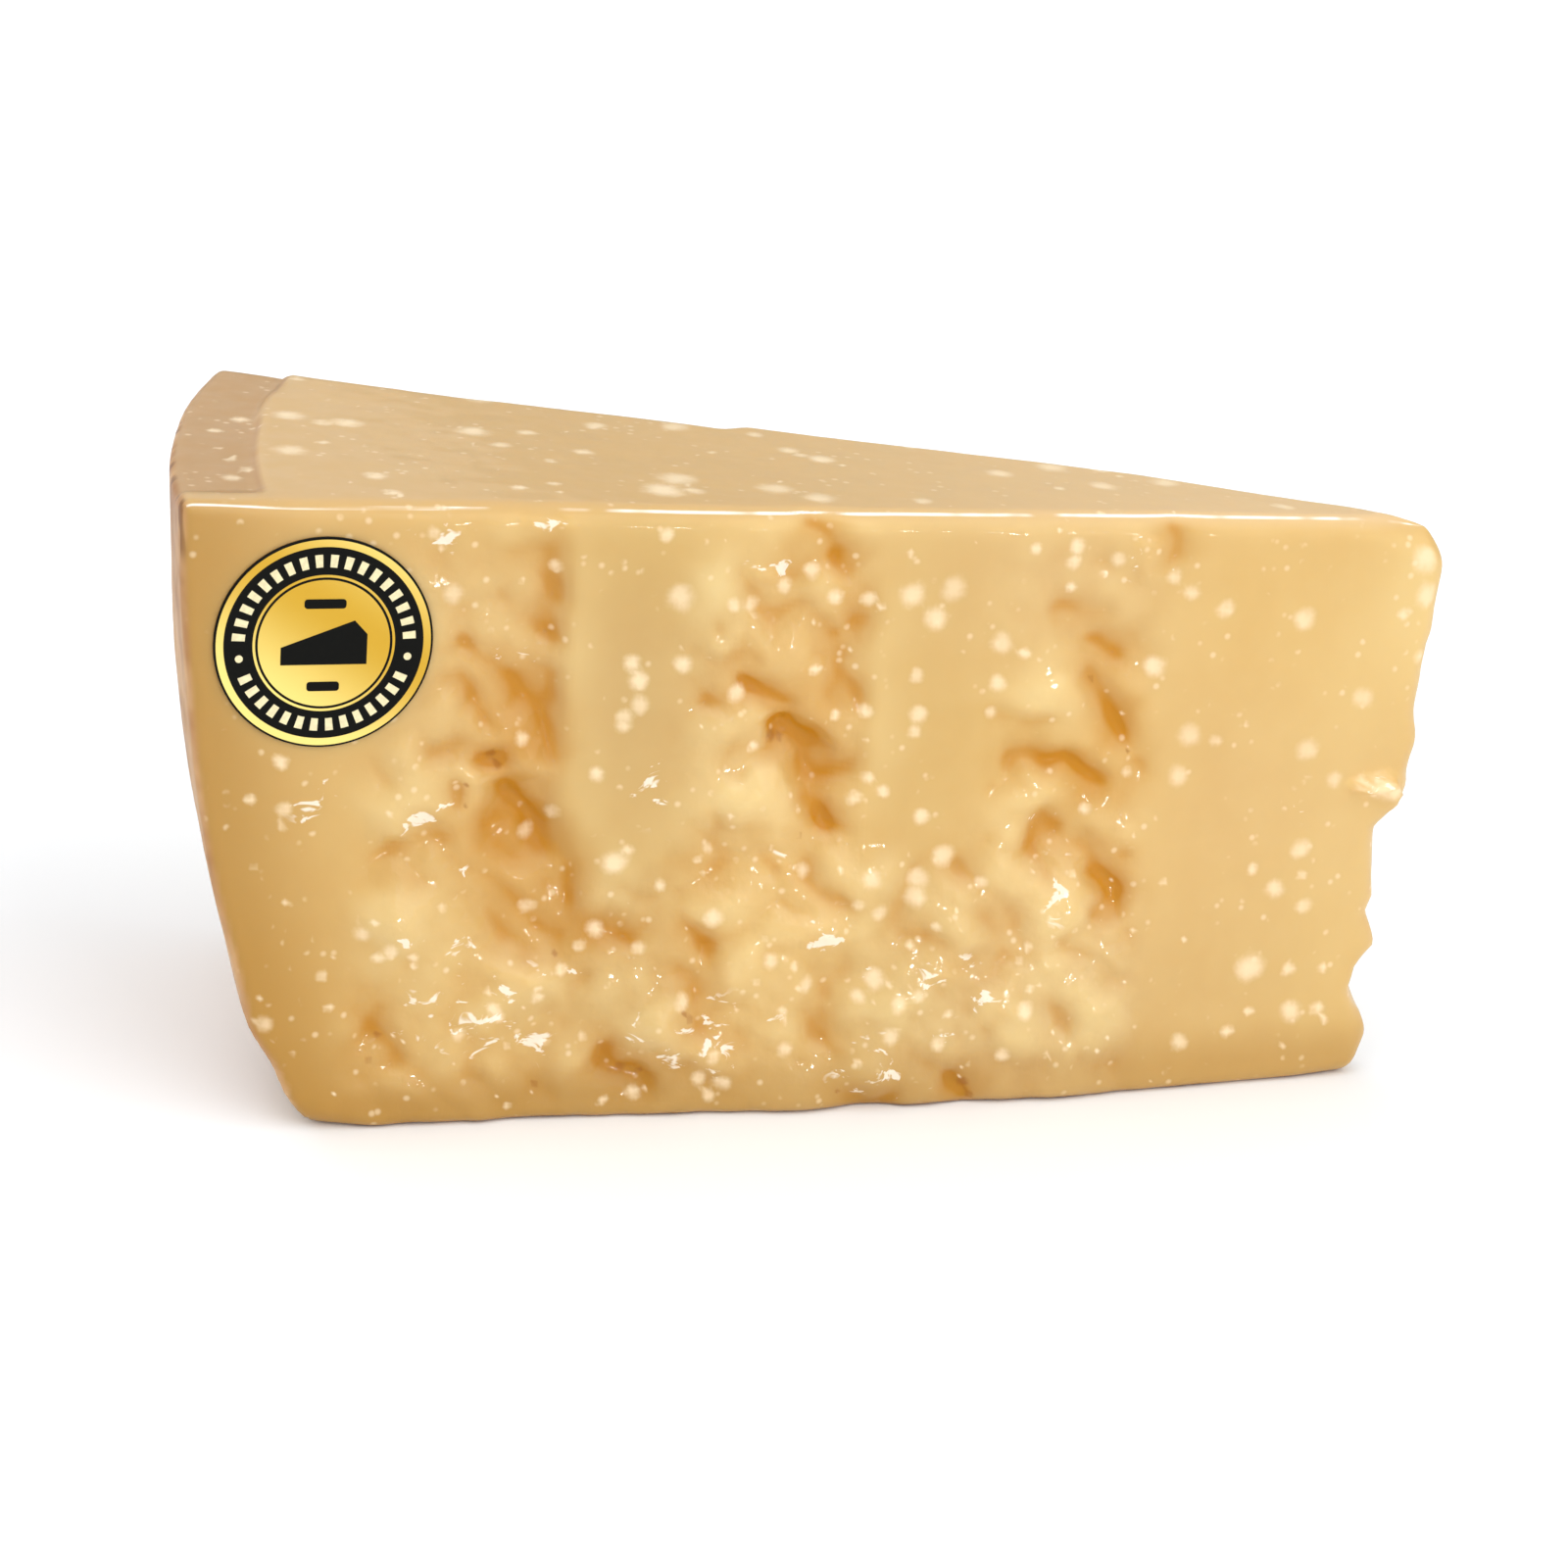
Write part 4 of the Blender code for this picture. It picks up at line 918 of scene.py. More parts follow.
def paint_regions(data, place):
    """Work out for each vertex which part of the cheese shows there, for the material."""
    x, y, z = place
    front, back, rind, _, top, _, _, strip = surfaces(x, y, z)
    along_front, along_back, _ = wheel_places(x, y)
    on_front = smooth_step(1.0 - front / FACE_FADE)
    on_back = smooth_step(1.0 - back / FACE_FADE)
    on_top = smooth_step(1.0 - top / FACE_FADE)
    on_side = np.maximum(on_front, on_back)
    back_alone = (1.0 - on_front) * on_back
    top_alone = (1.0 - on_side) * on_top
    sides = (along_front, along_back, z)

    skin = smooth_step(SKIN_FROM_RIND[0] - rind / SKIN_FROM_RIND[1])
    skin = np.maximum(skin, smooth_step(SKIN_FROM_BASE[0] - z / SKIN_FROM_BASE[1]))
    torn = on_front * torn_mask(along_front, z, FRONT_COLUMNS) * calm_share(along_front, z)
    torn = np.maximum(torn, back_alone * torn_mask(along_back, z, BACK_COLUMNS))

    front_spots, back_spots, top_spots = all_spots()
    ragged = [
        value + waves(x, z + y, (SPOT_RAGGED, SPOT_GRAIN, seed))
        for value, seed in ((x, 26), (y, 27), (z, 28))
    ]
    ragged_front, ragged_back, ragged_behind = wheel_places(*ragged[:2])
    crystal = on_front * spot_field(ragged_front, ragged[2], front_spots)
    crystal = np.maximum(crystal, back_alone * spot_field(ragged_back, ragged[2], back_spots))
    crystal = np.maximum(crystal, top_alone * spot_field(ragged_front, ragged_behind, top_spots))

    # Where painted glint highlights go on the front
    painted_glint_mask = np.zeros(z.shape)
    for at_u, at_z, wide, tall in GLINTS:
        reach = ((along_front - at_u) / wide) ** 2 + ((z - at_z) / tall) ** 2
        painted_glint_mask = np.maximum(painted_glint_mask, on_front * np.exp(-reach))

    # The painted highlight line that runs along the top edge
    rim = 1.0 - np.abs(top - front + RIM_SHIFT + RIM_TURN * along_front) / RIM_WIDE
    patches = lattice_noise(x, z + y, PATCH_GRAIN, 30)
    patches = patches + 0.5 * lattice_noise(x, z + y, 0.5 * PATCH_GRAIN, 35)
    regions = {
        "skin": skin,
        # darker paste near the rind and base, with a long tail of painted shade
        "crust_and_shade": crust_and_shade_share(rind, along_front, z),
        "torn": torn,
        "crystal": crystal,
        # where painted glint highlights go
        "painted_glint_mask": painted_glint_mask,
        "top": on_top * (1.0 - on_side * 0.5),
        "strip": strip * on_top,
        # shade painted as a thin line along the strip's step
        "seam": 4.0 * strip * (1.0 - strip) * on_top,
        # painted highlight line of the top edge
        "rim": np.where((front < RIM_ON_FRONT) & (top < RIM_ON_TOP), rim, NO_RIM),
        # broad patches of painted shade and light
        "tone": on_front * tone_field(along_front, z, FRONT_SHADE_AND_LIGHT),
        # places painted a little darker as shade
        "dim": on_front * tone_field(along_front, z, FRONT_SHADE_DIMS),
        # pits painted dark as shade
        "pit_shade": on_front * spot_field(ragged_front, ragged[2], PITS),
        "onward": along_front / (WHEEL_RADIUS - NOSE_GAP),
        "broad": 0.5 + 0.5 * lattice_noise(x, z + y, BROAD_GRAIN, 29),
        "patches": np.clip(0.5 + PATCH_CONTRAST * patches, 0.0, 1.0),
    }
    # These tables give where amber shade is painted in hollows and creases, and light on the lumps
    for name in ("cavity", "crevice", "hollow_shade"):
        regions[name] = both_sides(on_front, on_back, name, *sides)
    for name, values in regions.items():
        store(data, name, values)


def add_object(name, data):
    """A new object of the scene that shows the given data."""
    added = bpy.data.objects.new(name, data)
    bpy.context.scene.collection.objects.link(added)
    return added


def finished(mesh, name, looks):
    """Turn a bmesh into an object of the scene with its materials."""
    data = bpy.data.meshes.new(name)
    mesh.to_mesh(data)
    mesh.free()
    for look in looks:
        data.materials.append(look)
    return add_object(name, data)


def make_wedge(look):
    """The cheese itself, as one closed skin of fine cells."""
    mesh = grid_box(CELLS)
    place = wrapped_points(np.array([vertex.co[:] for vertex in mesh.verts]))
    bmesh.ops.recalc_face_normals(mesh, faces=mesh.faces)
    wedge = finished(mesh, "cheese_wedge", (look,))
    moved = (place.T + np.array([AXIS_X, AXIS_Y, 0.0])) * MM
    wedge.data.vertices.foreach_set("co", moved.astype(np.float32).ravel())
    wedge.data.update()
    paint_regions(wedge.data, place)
    wedge.data.shade_smooth()
    return wedge


def srgb(red, green, blue):
    """Linear colour with alpha from 8-bit display values."""
    linear = []
    for value in (red, green, blue):
        value /= 255.0
        linear.append(value / 12.92 if value <= 0.04045 else ((value + 0.055) / 1.055) ** 2.4)
    return (*linear, 1.0)


class Shader:
    """Short ways to add and join the nodes of one material."""

    def __init__(self, name):
        self.material = bpy.data.materials.new(name)
        self.material.use_nodes = True
        self.nodes = self.material.node_tree.nodes
        self.links = self.material.node_tree.links
        self.principled = self.nodes["Principled BSDF"]

    def add(self, kind, **settings):
        node = self.nodes.new(kind)
        for key, value in settings.items():
            setattr(node, key, value)
        return node

    def join(self, source, target):
        self.links.new(source, target)

    def attribute(self, name):
        return self.add("ShaderNodeAttribute", attribute_name=name).outputs["Fac"]

    def math(self, operation, first, second=None, clamp=False):
        node = self.add("ShaderNodeMath", operation=operation, use_clamp=clamp)
        for socket, value in zip(node.inputs, (first, second)):
            if value is None:
                continue
            if isinstance(value, (int, float)):
                socket.default_value = value
            else:
                self.join(value, socket)
        return node.outputs[0]

    def times(self, first, second, clamp=False):
        return self.math("MULTIPLY", first, second, clamp)

    def plus(self, first, second, clamp=False):
        return self.math("ADD", first, second, clamp)

    def minus(self, first, second, clamp=False):
        return self.math("SUBTRACT", first, second, clamp)

    def ramp(self, value, low, high):
        """0 at low, 1 at high, eased between."""
        node = self.add("ShaderNodeMapRange", interpolation_type="SMOOTHSTEP")
        node.inputs["From Min"].default_value = low
        node.inputs["From Max"].default_value = high
        self.join(value, node.inputs["Value"])
        return node.outputs[0]

    def noise(self, scale, detail=3.0, roughness=0.5, stretch=None, distortion=0.0):
        """Noise in the object's own space, with the scale in features a metre."""
        place = self.add("ShaderNodeTexCoord").outputs["Object"]
        if stretch is not None:
            mapping = self.add("ShaderNodeMapping")
            mapping.inputs["Scale"].default_value = stretch
            self.join(place, mapping.inputs["Vector"])
            place = mapping.outputs[0]
        node = self.add("ShaderNodeTexNoise")
        node.inputs["Scale"].default_value = scale
        node.inputs["Detail"].default_value = detail
        node.inputs["Roughness"].default_value = roughness
        node.inputs["Distortion"].default_value = distortion
        self.join(place, node.inputs["Vector"])
        return node.outputs["Fac"]

    def cells(self, scale):
        """Distance to the nearest of many scattered points, with the scale in points a metre."""
        place = self.add("ShaderNodeTexCoord").outputs["Object"]
        node = self.add("ShaderNodeTexVoronoi")
        node.inputs["Scale"].default_value = scale
        self.join(place, node.inputs["Vector"])
        return node.outputs["Distance"]

    def mix(self, factor, first, second):
        """Mix two colours, each a socket or a plain colour."""
        node = self.add("ShaderNodeMix", data_type="RGBA")
        for socket, value in ((node.inputs[0], factor), (node.inputs[6], first), (node.inputs[7], second)):
            if isinstance(value, (int, float, tuple)):
                socket.default_value = value
            else:
                self.join(value, socket)
        return node.outputs[2]

    def fix(self, values):
        """Set sockets of the surface to plain values."""
        for name, value in values.items():
            self.principled.inputs[name].default_value = value

    def bump(self, height, strength, distance, normal=None):
        node = self.add("ShaderNodeBump")
        node.inputs["Strength"].default_value = strength
        node.inputs["Distance"].default_value = distance
        self.join(height, node.inputs["Height"])
        if normal is not None:
            self.join(normal, node.inputs["Normal"])
        return node.outputs[0]


# Colours of the cheese
PASTE = srgb(217, 177, 115)
PASTE_WARM = srgb(221, 179, 106)
# Amber painted as shade into hollows, creases and broad shaded patches
AMBER = srgb(198, 130, 6)
# Paler paste: random mottling, and light painted on the lumps and the pale patches
PALE_AND_LIT_PASTE = srgb(240, 208, 142)
TOP_PASTE = srgb(219, 181, 122)
# Paler top towards the nose, a painted sheen
TOP_SHEEN = srgb(240, 207, 158)
STRIP_PASTE = srgb(186, 142, 88)
# Darker paste near the rind and the base, also the painted shade of the long tail from the rind
CRUST_AND_SHADE_COLOUR = srgb(174, 127, 50)
# Shade painted along the step at the strip's edge
STEP_SHADE = srgb(170, 112, 58)
# Dark shade painted into the small pits
PIT_SHADE = srgb(150, 92, 30)
CRYSTAL = srgb(248, 226, 188)
# White of the painted highlights: the glints and the top edge's line
GLINT = srgb(255, 250, 238)
NICK = srgb(112, 70, 38)
RIND_LIGHT = srgb(200, 158, 112)
RIND_DARK = srgb(160, 108, 58)
RIND_PALE = srgb(222, 186, 140)
BLACK = (0.0, 0.0, 0.0, 1.0)

# Noises of the cheese: features a metre, octaves and roughness
MOTTLE_NOISE = (150.0, 2.5, 0.55)
CRYSTAL_NOISE = (700.0, 2.0, 0.6)
GLINT_NOISE = (290.0, 3.0, 0.6)
RIM_NOISE = (42.0, 3.0, 0.6)
RIND_NOISE = (60.0, 3.0, 0.62)
STREAK_NOISE = (330.0, 2.0, 0.5)
WAVE_NOISE = (130.0, 1.0, 0.5)
NODULE_NOISE = (200.0, 2.0, 0.45)
GRAIN_NOISE = (900.0, 2.0, 0.55)
SPECKS = 380.0
GLINT_STRETCH = (0.7, 1.0, 1.2)
GLINT_TWIST = 0.7
STREAK_STRETCH = (1.0, 1.0, 0.14)

# Where each look begins and is full, on its own noise or attribute
MOTTLE_EDGE = (0.3, 0.72)
LIT_LUMP_DEPTHS = (0.3, -1.1)
CAVITY_DEPTHS = (0.0, 2.2)
CREVICE_DEPTHS = (0.04, 0.5)
TOP_PALING = (0.25, 0.95)
PIT_EDGE = (0.3, 0.75)
CRYSTAL_EDGE = (0.32, 0.88)
SPECK_EDGE = (0.3, 0.08)
SPECK_MOTTLE = (0.5, 0.8)
GLINT_EDGE = (0.66, 0.72)
GLINT_REACH = (0.05, 0.4)
RIM_EDGE = (0.1, 0.7)
RIM_BREAKS = (0.38, 0.48)
RIND_MOTTLE = (0.3, 0.72)
STREAK_PALE = (0.45, 0.25)
NICK_EDGE = (0.58, 0.64)
NICK_HEIGHTS = (0.0945, 0.0975)

# How much of each look is mixed in
MOTTLE_SHARE = 0.1
MOTTLE_TORN = 0.22
HOLLOW_SHADE_RATE = 0.7
HOLLOW_SHADE_SHARE = 0.8
CAVITY_SHARE = 0.5
CREVICE_SHARE = 0.36
PATCH_SHARE = 0.4
AMBER_SHARE = 0.95
TOP_SHARE = 0.85
CRUST_BROAD = 0.28
STRIP_SHARE = 0.75
STEP_SHADE_SHARE = 0.4
DIM_ALL = 0.113
PIT_SHARE = 0.6
CRYSTAL_ROUGH = 0.24
CRYSTAL_SHARE = 0.5
CRYSTAL_PATCHY = 0.25
CRYSTAL_ON_TOP = 0.15
SPECK_SHARE = 0.4
PAINTED_GLINT_LIFT = 0.12
GLINT_SHARE = 0.62
STREAK_SHARE = 0.35
NICK_SHARE = 0.7

# Gloss: roughness and the wet film, and how torn, sunk and rind-covered places change them
ROUGH = 0.42
ROUGH_SKIN = 0.12
ROUGH_MOTTLE = 0.1
FILM = 0.2
FILM_TORN = 0.35
FILM_SKIN = 0.15
FILM_SUNK = 0.3

# Bumps: strength and distance, and how much of them the smooth places keep
WAVE_BUMP = (0.3, 0.0006)
NODULE_BUMP = (0.5, 0.0013)
GRAIN_BUMP = (0.25, 0.0002)
NODULES_SMOOTH = 0.05
GRAIN_SMOOTH = 0.15


def amber_share(s, patches):
    """How much amber shade is painted on the paste: in its hollows, dishes and creases, and in the broad
    amber patches.
    """
    shaded_hollows = s.minus(1.0, s.math("POWER", 0.5, s.times(s.attribute("hollow_shade"), HOLLOW_SHADE_RATE)))
    dished = s.times(s.ramp(s.attribute("cavity"), *CAVITY_DEPTHS), CAVITY_SHARE)
    creased = s.times(s.ramp(s.attribute("crevice"), *CREVICE_DEPTHS), CREVICE_SHARE)
    share = s.plus(s.plus(s.times(shaded_hollows, HOLLOW_SHADE_SHARE), dished), creased)
    # Adds the amber of the broad painted shade patches
    share = s.plus(share, s.math("MAXIMUM", s.attribute("tone"), 0.0))
    return s.times(share, s.plus(1.0 - PATCH_SHARE, s.times(patches, PATCH_SHARE)), clamp=True)


def paste_colour(s, patches, mottle, amber):
    """Straw paste, paler on top with a sheen painted towards the nose, with light painted on its lumps,
    darker near the rind (real darker paste with a long tail of painted shade), darker on the strip, and
    with shade painted along the strip's step and in pits.
    """
    broad = s.attribute("broad")
    top = s.times(s.attribute("top"), TOP_SHARE)
    mottled = s.times(mottle, s.plus(MOTTLE_SHARE, s.times(s.attribute("torn"), MOTTLE_TORN)))
    colour = s.mix(mottled, s.mix(broad, PASTE, PASTE_WARM), PALE_AND_LIT_PASTE)
    # Light painted on the lumps that stand proud, and on the pale patches
    lit_lumps = s.ramp(s.attribute("cavity"), *LIT_LUMP_DEPTHS)
    lit_lumps = s.times(lit_lumps, s.plus(0.5, s.times(patches, 0.5)))
    # Pale of the broad painted light patches
    pale = s.math("MAXIMUM", s.times(s.attribute("tone"), -1.0), 0.0)
    colour = s.mix(s.plus(lit_lumps, pale, clamp=True), colour, PALE_AND_LIT_PASTE)
    colour = s.mix(s.times(amber, AMBER_SHARE), colour, AMBER)
    # The top is painted paler towards the nose as a sheen
    top_colour = s.mix(s.ramp(s.attribute("onward"), *TOP_PALING), TOP_PASTE, TOP_SHEEN)
    colour = s.mix(top, colour, top_colour)
    # Darker near the rind and base, partly painted shade
    crust_and_shade = s.plus(1.0 - CRUST_BROAD, s.times(broad, CRUST_BROAD))
    crust_and_shade = s.times(s.times(s.attribute("crust_and_shade"), crust_and_shade), s.minus(1.0, top))
    colour = s.mix(crust_and_shade, colour, CRUST_AND_SHADE_COLOUR)
    colour = s.mix(s.times(s.attribute("strip"), STRIP_SHARE), colour, STRIP_PASTE)
    # Paints shade along the strip's step
    colour = s.mix(s.times(s.attribute("seam"), STEP_SHADE_SHARE), colour, STEP_SHADE)
    # Darkens the dim places as painted shade, and the whole paste evenly
    colour = s.mix(s.plus(s.attribute("dim"), DIM_ALL), colour, BLACK)
    # Paints the pits dark as shade
    return s.mix(s.times(s.ramp(s.attribute("pit_shade"), *PIT_EDGE), PIT_SHARE), colour, PIT_SHADE)


def with_crystals(s, colour, patches, mottle):
    """Pale crystals with ragged rims, and fine specks where the paste is mottled."""
    rough_rim = s.times(s.minus(s.noise(*CRYSTAL_NOISE), 0.5), CRYSTAL_ROUGH)
    crystal = s.ramp(s.plus(s.attribute("crystal"), rough_rim), *CRYSTAL_EDGE)
    strength = s.plus(s.times(patches, CRYSTAL_PATCHY), s.times(s.attribute("top"), CRYSTAL_ON_TOP))
    colour = s.mix(s.times(crystal, s.plus(CRYSTAL_SHARE, strength)), colour, CRYSTAL)
    speck = s.times(s.ramp(s.cells(SPECKS), *SPECK_EDGE), s.ramp(mottle, *SPECK_MOTTLE))
    return s.mix(s.times(speck, SPECK_SHARE), colour, CRYSTAL)


def with_glints(s, colour):
    """Painted highlights: small bright glint streaks where the listed glints lie, and the broken bright
    highlight line painted along the top edge.
    """
    painted_glint_mask = s.attribute("painted_glint_mask")
    streaks = s.noise(*GLINT_NOISE, stretch=GLINT_STRETCH, distortion=GLINT_TWIST)
    glint = s.ramp(s.plus(streaks, s.times(painted_glint_mask, PAINTED_GLINT_LIFT)), *GLINT_EDGE)
    glint = s.times(glint, s.ramp(painted_glint_mask, *GLINT_REACH))
    colour = s.mix(s.times(glint, GLINT_SHARE), colour, GLINT)
    rim = s.times(s.ramp(s.attribute("rim"), *RIM_EDGE), s.ramp(s.noise(*RIM_NOISE), *RIM_BREAKS))
    return s.mix(rim, colour, GLINT)


def rind_colour(s):
    """Mottled tan rind with pale upright streaks, and dark nicks below its top edge."""
    colour = s.mix(s.ramp(s.noise(*RIND_NOISE), *RIND_MOTTLE), RIND_LIGHT, RIND_DARK)
    streak = s.noise(*STREAK_NOISE, stretch=STREAK_STRETCH)
    colour = s.mix(s.times(s.ramp(streak, *STREAK_PALE), STREAK_SHARE), colour, RIND_PALE)
    split = s.add("ShaderNodeSeparateXYZ")
    s.join(s.add("ShaderNodeTexCoord").outputs["Object"], split.inputs[0])
    nick = s.times(s.ramp(streak, *NICK_EDGE), s.ramp(split.outputs["Z"], *NICK_HEIGHTS))
    return s.mix(s.times(nick, NICK_SHARE), colour, NICK)


def cheese_material():
    """Waxy aged cheese: amber shade painted in its hollows, light painted on its lumps, with pale crystals
    and a rind.
    """
    s = Shader("cheese_paste")
    torn = s.attribute("torn")
    skin = s.attribute("skin")
    patches = s.attribute("patches")
    mottle = s.ramp(s.noise(*MOTTLE_NOISE), *MOTTLE_EDGE)
    amber = amber_share(s, patches)
    colour = with_crystals(s, paste_colour(s, patches, mottle, amber), patches, mottle)
    colour = s.mix(skin, with_glints(s, colour), rind_colour(s))
    s.join(colour, s.principled.inputs["Base Color"])

    rough = s.plus(ROUGH, s.times(skin, ROUGH_SKIN))
    s.join(s.minus(rough, s.times(mottle, ROUGH_MOTTLE)), s.principled.inputs["Roughness"])
    film = s.plus(FILM, s.times(torn, FILM_TORN))
    film = s.minus(film, s.times(skin, FILM_SKIN))
    film = s.minus(film, s.times(amber, FILM_SUNK), clamp=True)
    s.join(film, s.principled.inputs["Coat Weight"])

    normal = s.bump(s.noise(*WAVE_NOISE), *WAVE_BUMP)
    nodules = s.times(s.noise(*NODULE_NOISE), s.plus(NODULES_SMOOTH, torn))
    normal = s.bump(nodules, *NODULE_BUMP, normal)
    grain = s.times(s.noise(*GRAIN_NOISE), s.plus(GRAIN_SMOOTH, torn))
    normal = s.bump(grain, *GRAIN_BUMP, normal)
    for socket in ("Normal", "Coat Normal"):
        s.join(normal, s.principled.inputs[socket])

    s.principled.subsurface_method = "BURLEY"
    s.fix({"Subsurface Weight": 0.6, "Subsurface Radius": (1.0, 0.6, 0.25), "Subsurface Scale": 0.004})
    s.fix({"IOR": 1.45, "Specular IOR Level": 0.2, "Coat Roughness": 0.05})
    return s.material


# The label: radii of its rings from the rim inwards, how finely it is cut, and its dashes and dots
RING_RADII = (16.8, 16.45, 15.3, 10.9, 10.5, 10.1)
LABEL_SECTORS = 288
LABEL_STAND = 0.12
LABEL_THICK = 0.35
LABEL_BEVEL = 0.12
LABEL_UNDER = -0.1
DASH_OUTER = 14.1
DASH_INNER = 12.1
DASH_STEP_DEG = 10.0
DASH_WIDE_DEG = 5.0
DASH_GAP_FROM_DOT_DEG = 12.0
DOT_BEARINGS = (-10.0, 190.0)
DOT_REACH = 13.1
DOT_RADIUS = 0.6
DOT_SIDES = 24

# Ink of the middle: how far it stands and reaches down, its bars and its simple wedge shape
INK_TALL = 0.05
INK_SUNK = 0.02
BAR_ROUND = 0.5
BAR_CORNER_SIDES = 6
BARS = ((6.3, 6.4, 1.5), (-6.9, 5.0, 1.5))
WEDGE_SIGN = ((-6.6, -3.4), (-6.6, -0.6), (4.6, 3.6), (6.6, 1.4), (6.6, -3.4))

GOLD_DEEP = srgb(208, 162, 38)
GOLD_PALE = srgb(250, 226, 128)
GOLD_NOISE = (2200.0, 2.0)
SHEEN_ACROSS = 93.6
SHEEN_UP = 136.8
INK_BLACK = (0.004, 0.004, 0.003, 1.0)
INK_CREAM = srgb(238, 226, 182)
INK_UNEVEN = 0.86
INK_TONE_NOISE = (1500.0, 3.0)
INK_ROUGH_NOISE = (900.0, 2.0)
INK_EDGE = (0.3, 0.7)
PRINT_ROUGH = 0.08


def gold_material():
    """Gold foil, with a broad diagonal sheen painted into its colour."""
    s = Shader("label_gold")
    split = s.add("ShaderNodeSeparateXYZ")
    s.join(s.add("ShaderNodeTexCoord").outputs["Object"], split.inputs[0])
    # A painted sheen: lighter gold along broad diagonal bands
    diagonal = s.plus(s.times(split.outputs["X"], SHEEN_ACROSS), s.times(split.outputs["Z"], SHEEN_UP))
    sheen = s.plus(s.times(s.math("SINE", diagonal), 0.5), 0.5)
    s.join(s.mix(sheen, GOLD_DEEP, GOLD_PALE), s.principled.inputs["Base Color"])
    rough = s.plus(0.3, s.times(s.noise(*GOLD_NOISE), PRINT_ROUGH))
    s.join(rough, s.principled.inputs["Roughness"])
    s.fix({"Metallic": 0.75, "Coat Weight": 0.4, "Coat Roughness": 0.15})
    return s.material


def ink_material(name, colour, roughness):
    """Printed ink with a slight unevenness."""
    s = Shader(name)
    darker = (*(INK_UNEVEN * part for part in colour[:3]), 1.0)
    shade = s.mix(s.ramp(s.noise(*INK_TONE_NOISE), *INK_EDGE), colour, darker)
    s.join(shade, s.principled.inputs["Base Color"])
    rough = s.plus(roughness, s.times(s.noise(*INK_ROUGH_NOISE), PRINT_ROUGH))
    s.join(rough, s.principled.inputs["Roughness"])
    s.fix({"Specular IOR Level": 0.08})
    return s.material


def label_matrix():
    """From the label's own plane, x to the right and y up, to the part's frame in metres."""
    right = Vector((COS_A, SIN_A, 0.0))
    up = Vector((0.0, 0.0, 1.0))
    out = right.cross(up)
    reach = WHEEL_RADIUS - LABEL_U
    centre = Vector((-reach * COS_A + AXIS_X, -reach * SIN_A + AXIS_Y, LABEL_Z)) + out * LABEL_STAND
    turn = Matrix((right, up, out)).transposed().to_4x4()
    return Matrix.Translation(centre * MM) @ turn @ Matrix.Scale(MM, 4)


def in_dash(degrees):
    """Whether a bearing on the black band falls on one of its pale dashes."""
    middle = DASH_STEP_DEG * (math.floor(degrees / DASH_STEP_DEG) + 0.5)
    from_dot = min(abs((middle - dot + 180.0) % 360.0 - 180.0) for dot in DOT_BEARINGS)
    return from_dot > DASH_GAP_FROM_DOT_DEG and abs(degrees - middle) < 0.5 * DASH_WIDE_DEG


def ring_look(radius, degrees):
    """Which look a place on the label has: 0 for gold, 1 for black and 2 for cream."""
    outer_line = radius > RING_RADII[1]
    band = RING_RADII[3] < radius < RING_RADII[2]
    inner_line = RING_RADII[5] < radius < RING_RADII[4]
    if band and DASH_INNER < radius < DASH_OUTER and in_dash(degrees):
        return 2
    return 1 if outer_line or band or inner_line else 0


def make_label(looks):
    """The round label: a thin disc in rings of gold and black, with plain dashes for print."""
    mesh = bmesh.new()
    radii = sorted(set(RING_RADII) | {DASH_OUTER, DASH_INNER}, reverse=True)
    rows = [(LABEL_RADIUS, LABEL_UNDER), (LABEL_RADIUS, LABEL_THICK - LABEL_BEVEL)]
    rows += [(LABEL_RADIUS - LABEL_BEVEL, LABEL_THICK)]
    rows += [(radius, LABEL_THICK) for radius in radii[1:]]
    rings = []
    for radius, height in rows:
        outline = disc_outline(0.0, 0.0, radius, LABEL_SECTORS)
        rings.append([mesh.verts.new((x, y, height)) for x, y in outline])
    middle = mesh.verts.new((0.0, 0.0, LABEL_THICK))
    under = mesh.verts.new((0.0, 0.0, LABEL_UNDER))
    for sector in range(LABEL_SECTORS):
        after = (sector + 1) % LABEL_SECTORS
        for outer, inner in zip(rings[:-1], rings[1:]):
            mesh.faces.new((outer[sector], outer[after], inner[after], inner[sector]))
        mesh.faces.new((rings[-1][sector], rings[-1][after], middle))
        mesh.faces.new((rings[0][after], rings[0][sector], under))
    for face in mesh.faces:
        place = face.calc_center_median()
        degrees = math.degrees(math.atan2(place.y, place.x)) % 360.0
        face.material_index = ring_look(math.hypot(place.x, place.y), degrees)
    bmesh.ops.transform(mesh, matrix=label_matrix(), verts=mesh.verts)
    return finished(mesh, "label_disc", looks)


def prism(mesh, outline, low, high):
    """A flat shape with straight sides from an outline in the label's plane."""
    bottom = [mesh.verts.new((x, y, low)) for x, y in outline]
    top = [mesh.verts.new((x, y, high)) for x, y in outline]
    mesh.faces.new(top)
    mesh.faces.new(list(reversed(bottom)))
    for index in range(len(outline)):
        after = (index + 1) % len(outline)
        mesh.faces.new((bottom[index], bottom[after], top[after], top[index]))


def disc_outline(x, y, radius, sides):
    """Outline of a disc, as points going round to the left."""
    turns = [2.0 * math.pi * side / sides for side in range(sides)]
    return [(x + radius * math.cos(turn), y + radius * math.sin(turn)) for turn in turns]


def dot_outline(bearing):
    """Outline of one dot of the band, at its bearing from the label's middle."""
    angle = math.radians(bearing)
    return disc_outline(DOT_REACH * math.cos(angle), DOT_REACH * math.sin(angle), DOT_RADIUS, DOT_SIDES)


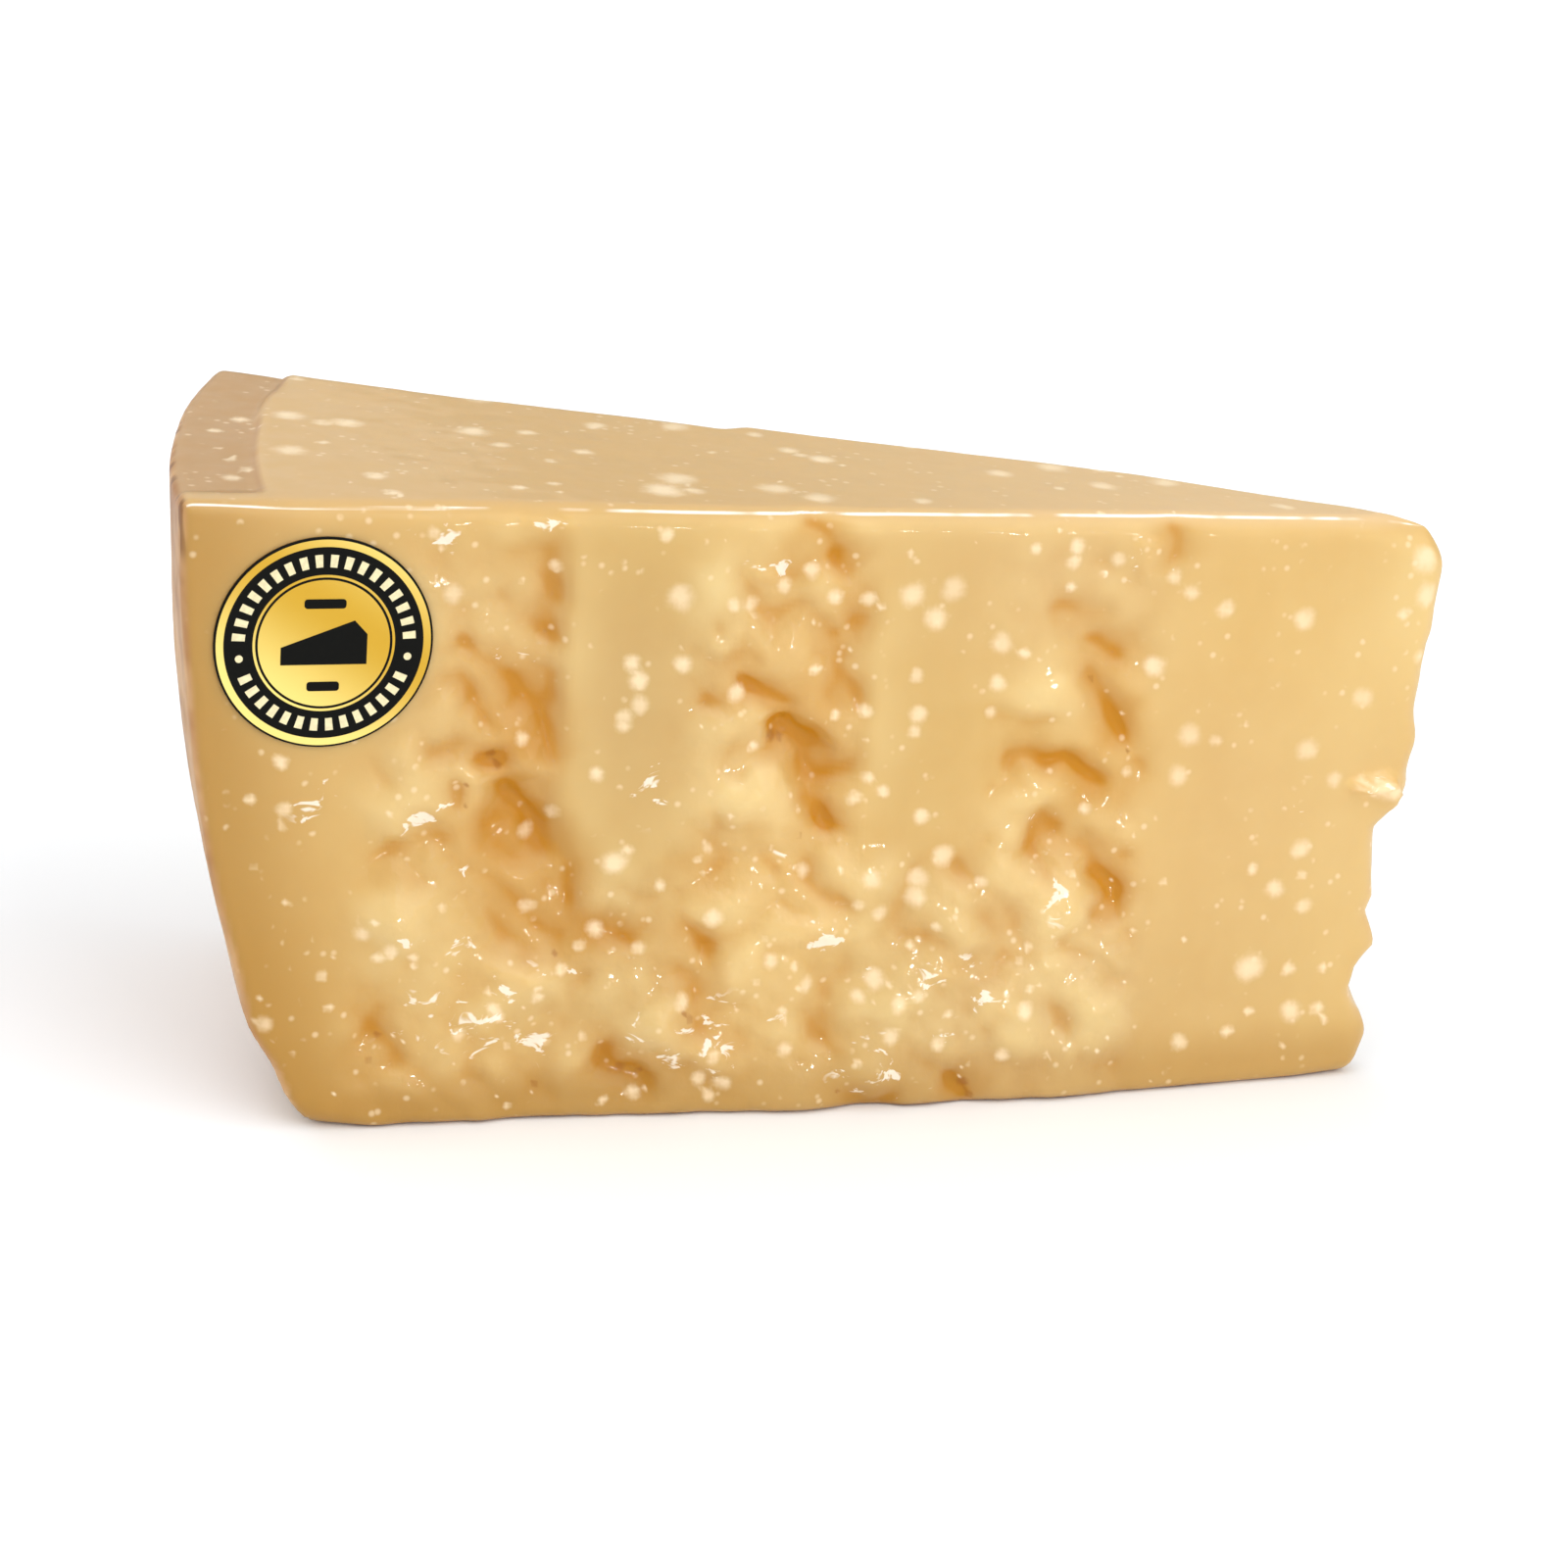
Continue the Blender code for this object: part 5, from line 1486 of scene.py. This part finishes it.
def bar_outline(up, long, tall):
    """Outline of a level bar with round corners, from its height above the middle and its size."""
    points = []
    for corner, (side_x, side_y) in enumerate(((1, 1), (-1, 1), (-1, -1), (1, -1))):
        x = side_x * (0.5 * long - BAR_ROUND)
        y = up + side_y * (0.5 * tall - BAR_ROUND)
        for step in range(BAR_CORNER_SIDES + 1):
            turn = 0.5 * math.pi * (corner + step / BAR_CORNER_SIDES)
            points.append((x + BAR_ROUND * math.cos(turn), y + BAR_ROUND * math.sin(turn)))
    return points


def make_print(name, outlines, look):
    """Ink that stands a hair above the label's face."""
    mesh = bmesh.new()
    for outline in outlines:
        prism(mesh, outline, LABEL_THICK - INK_SUNK, LABEL_THICK + INK_TALL)
    bmesh.ops.recalc_face_normals(mesh, faces=mesh.faces)
    bmesh.ops.transform(mesh, matrix=label_matrix(), verts=mesh.verts)
    return finished(mesh, name, (look,))


# The floor: half its width and how far back and down it lies in metres, its noise and two tones
FLOOR_SIZE = 6.0
FLOOR_PLACE = (0.0, 1.5, -0.0001)
FLOOR_NOISE = (3.0, 2.0)
FLOOR_EDGE = (0.3, 0.7)
FLOOR_DIM = (0.955, 0.975, 1.0, 1.0)
FLOOR_BRIGHT = (0.965, 0.985, 1.0, 1.0)


def make_floor():
    """A wide pale floor under the chunk."""
    s = Shader("floor_white")
    tone = s.mix(s.ramp(s.noise(*FLOOR_NOISE), *FLOOR_EDGE), FLOOR_DIM, FLOOR_BRIGHT)
    s.join(tone, s.principled.inputs["Base Color"])
    s.fix({"Roughness": 0.9, "Specular IOR Level": 0.0})
    mesh = bmesh.new()
    bmesh.ops.create_grid(mesh, x_segments=8, y_segments=8, size=FLOOR_SIZE)
    floor = finished(mesh, "floor", (s.material,))
    floor.location = FLOOR_PLACE
    return floor


def add_sun(name, azimuth, elevation, share, angle):
    """A far soft light: degrees to the right of straight in front, degrees up, and its share
    of the light that a white floor facing it would send back."""
    sun = bpy.data.lights.new(name, "SUN")
    sun.energy = math.pi * share
    sun.angle = math.radians(angle)
    turn = Matrix.Rotation(math.radians(azimuth), 4, "Z")
    tilt = Matrix.Rotation(math.radians(90.0 - elevation), 4, "X")
    add_object(name, sun).matrix_world = turn @ tilt


def add_lights():
    """Soft studio light from the right, the front, the left, above and behind, a small low
    source that sparks in the glossy places, and an even white sky."""
    for light in LIGHTS:
        add_sun(*light)
    world = bpy.data.worlds.new("studio")
    bpy.context.scene.world = world
    world.use_nodes = True
    background = world.node_tree.nodes["Background"]
    background.inputs["Color"].default_value = (1.0, 1.0, 1.0, 1.0)
    background.inputs["Strength"].default_value = SKY


def add_camera():
    """The camera at the photograph's viewing angle, a little rolled as there."""
    data = bpy.data.cameras.new("camera")
    data.sensor_width = SENSOR_WIDTH
    data.lens = LENS
    data.clip_start = 0.01
    data.clip_end = 60.0
    turn = Matrix.Rotation(math.radians(-CAMERA_YAW), 4, "Z")
    tilt = Matrix.Rotation(math.radians(90.0 - CAMERA_PITCH), 4, "X")
    roll = Matrix.Rotation(math.radians(CAMERA_ROLL), 4, "Z")
    camera = add_object("camera", data)
    camera.matrix_world = Matrix.Translation(Vector(CAMERA_PLACE) * MM) @ turn @ tilt @ roll
    bpy.context.scene.camera = camera


add_camera()

wedge = make_wedge(cheese_material())
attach(wedge, "root")
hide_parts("wedge")

gold = gold_material()
black = ink_material("label_black", INK_BLACK, 0.35)
cream = ink_material("label_cream", INK_CREAM, 0.4)
label = make_label((gold, black, cream))
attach(label, "root")
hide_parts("label")

dots = make_print("label_dots", [dot_outline(bearing) for bearing in DOT_BEARINGS], cream)
marks = make_print("label_marks", [bar_outline(*bar) for bar in BARS] + [WEDGE_SIGN], black)
for piece in (dots, marks):
    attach(piece, "root")

make_floor()
add_lights()
bpy.context.scene.view_settings.view_transform = "Standard"
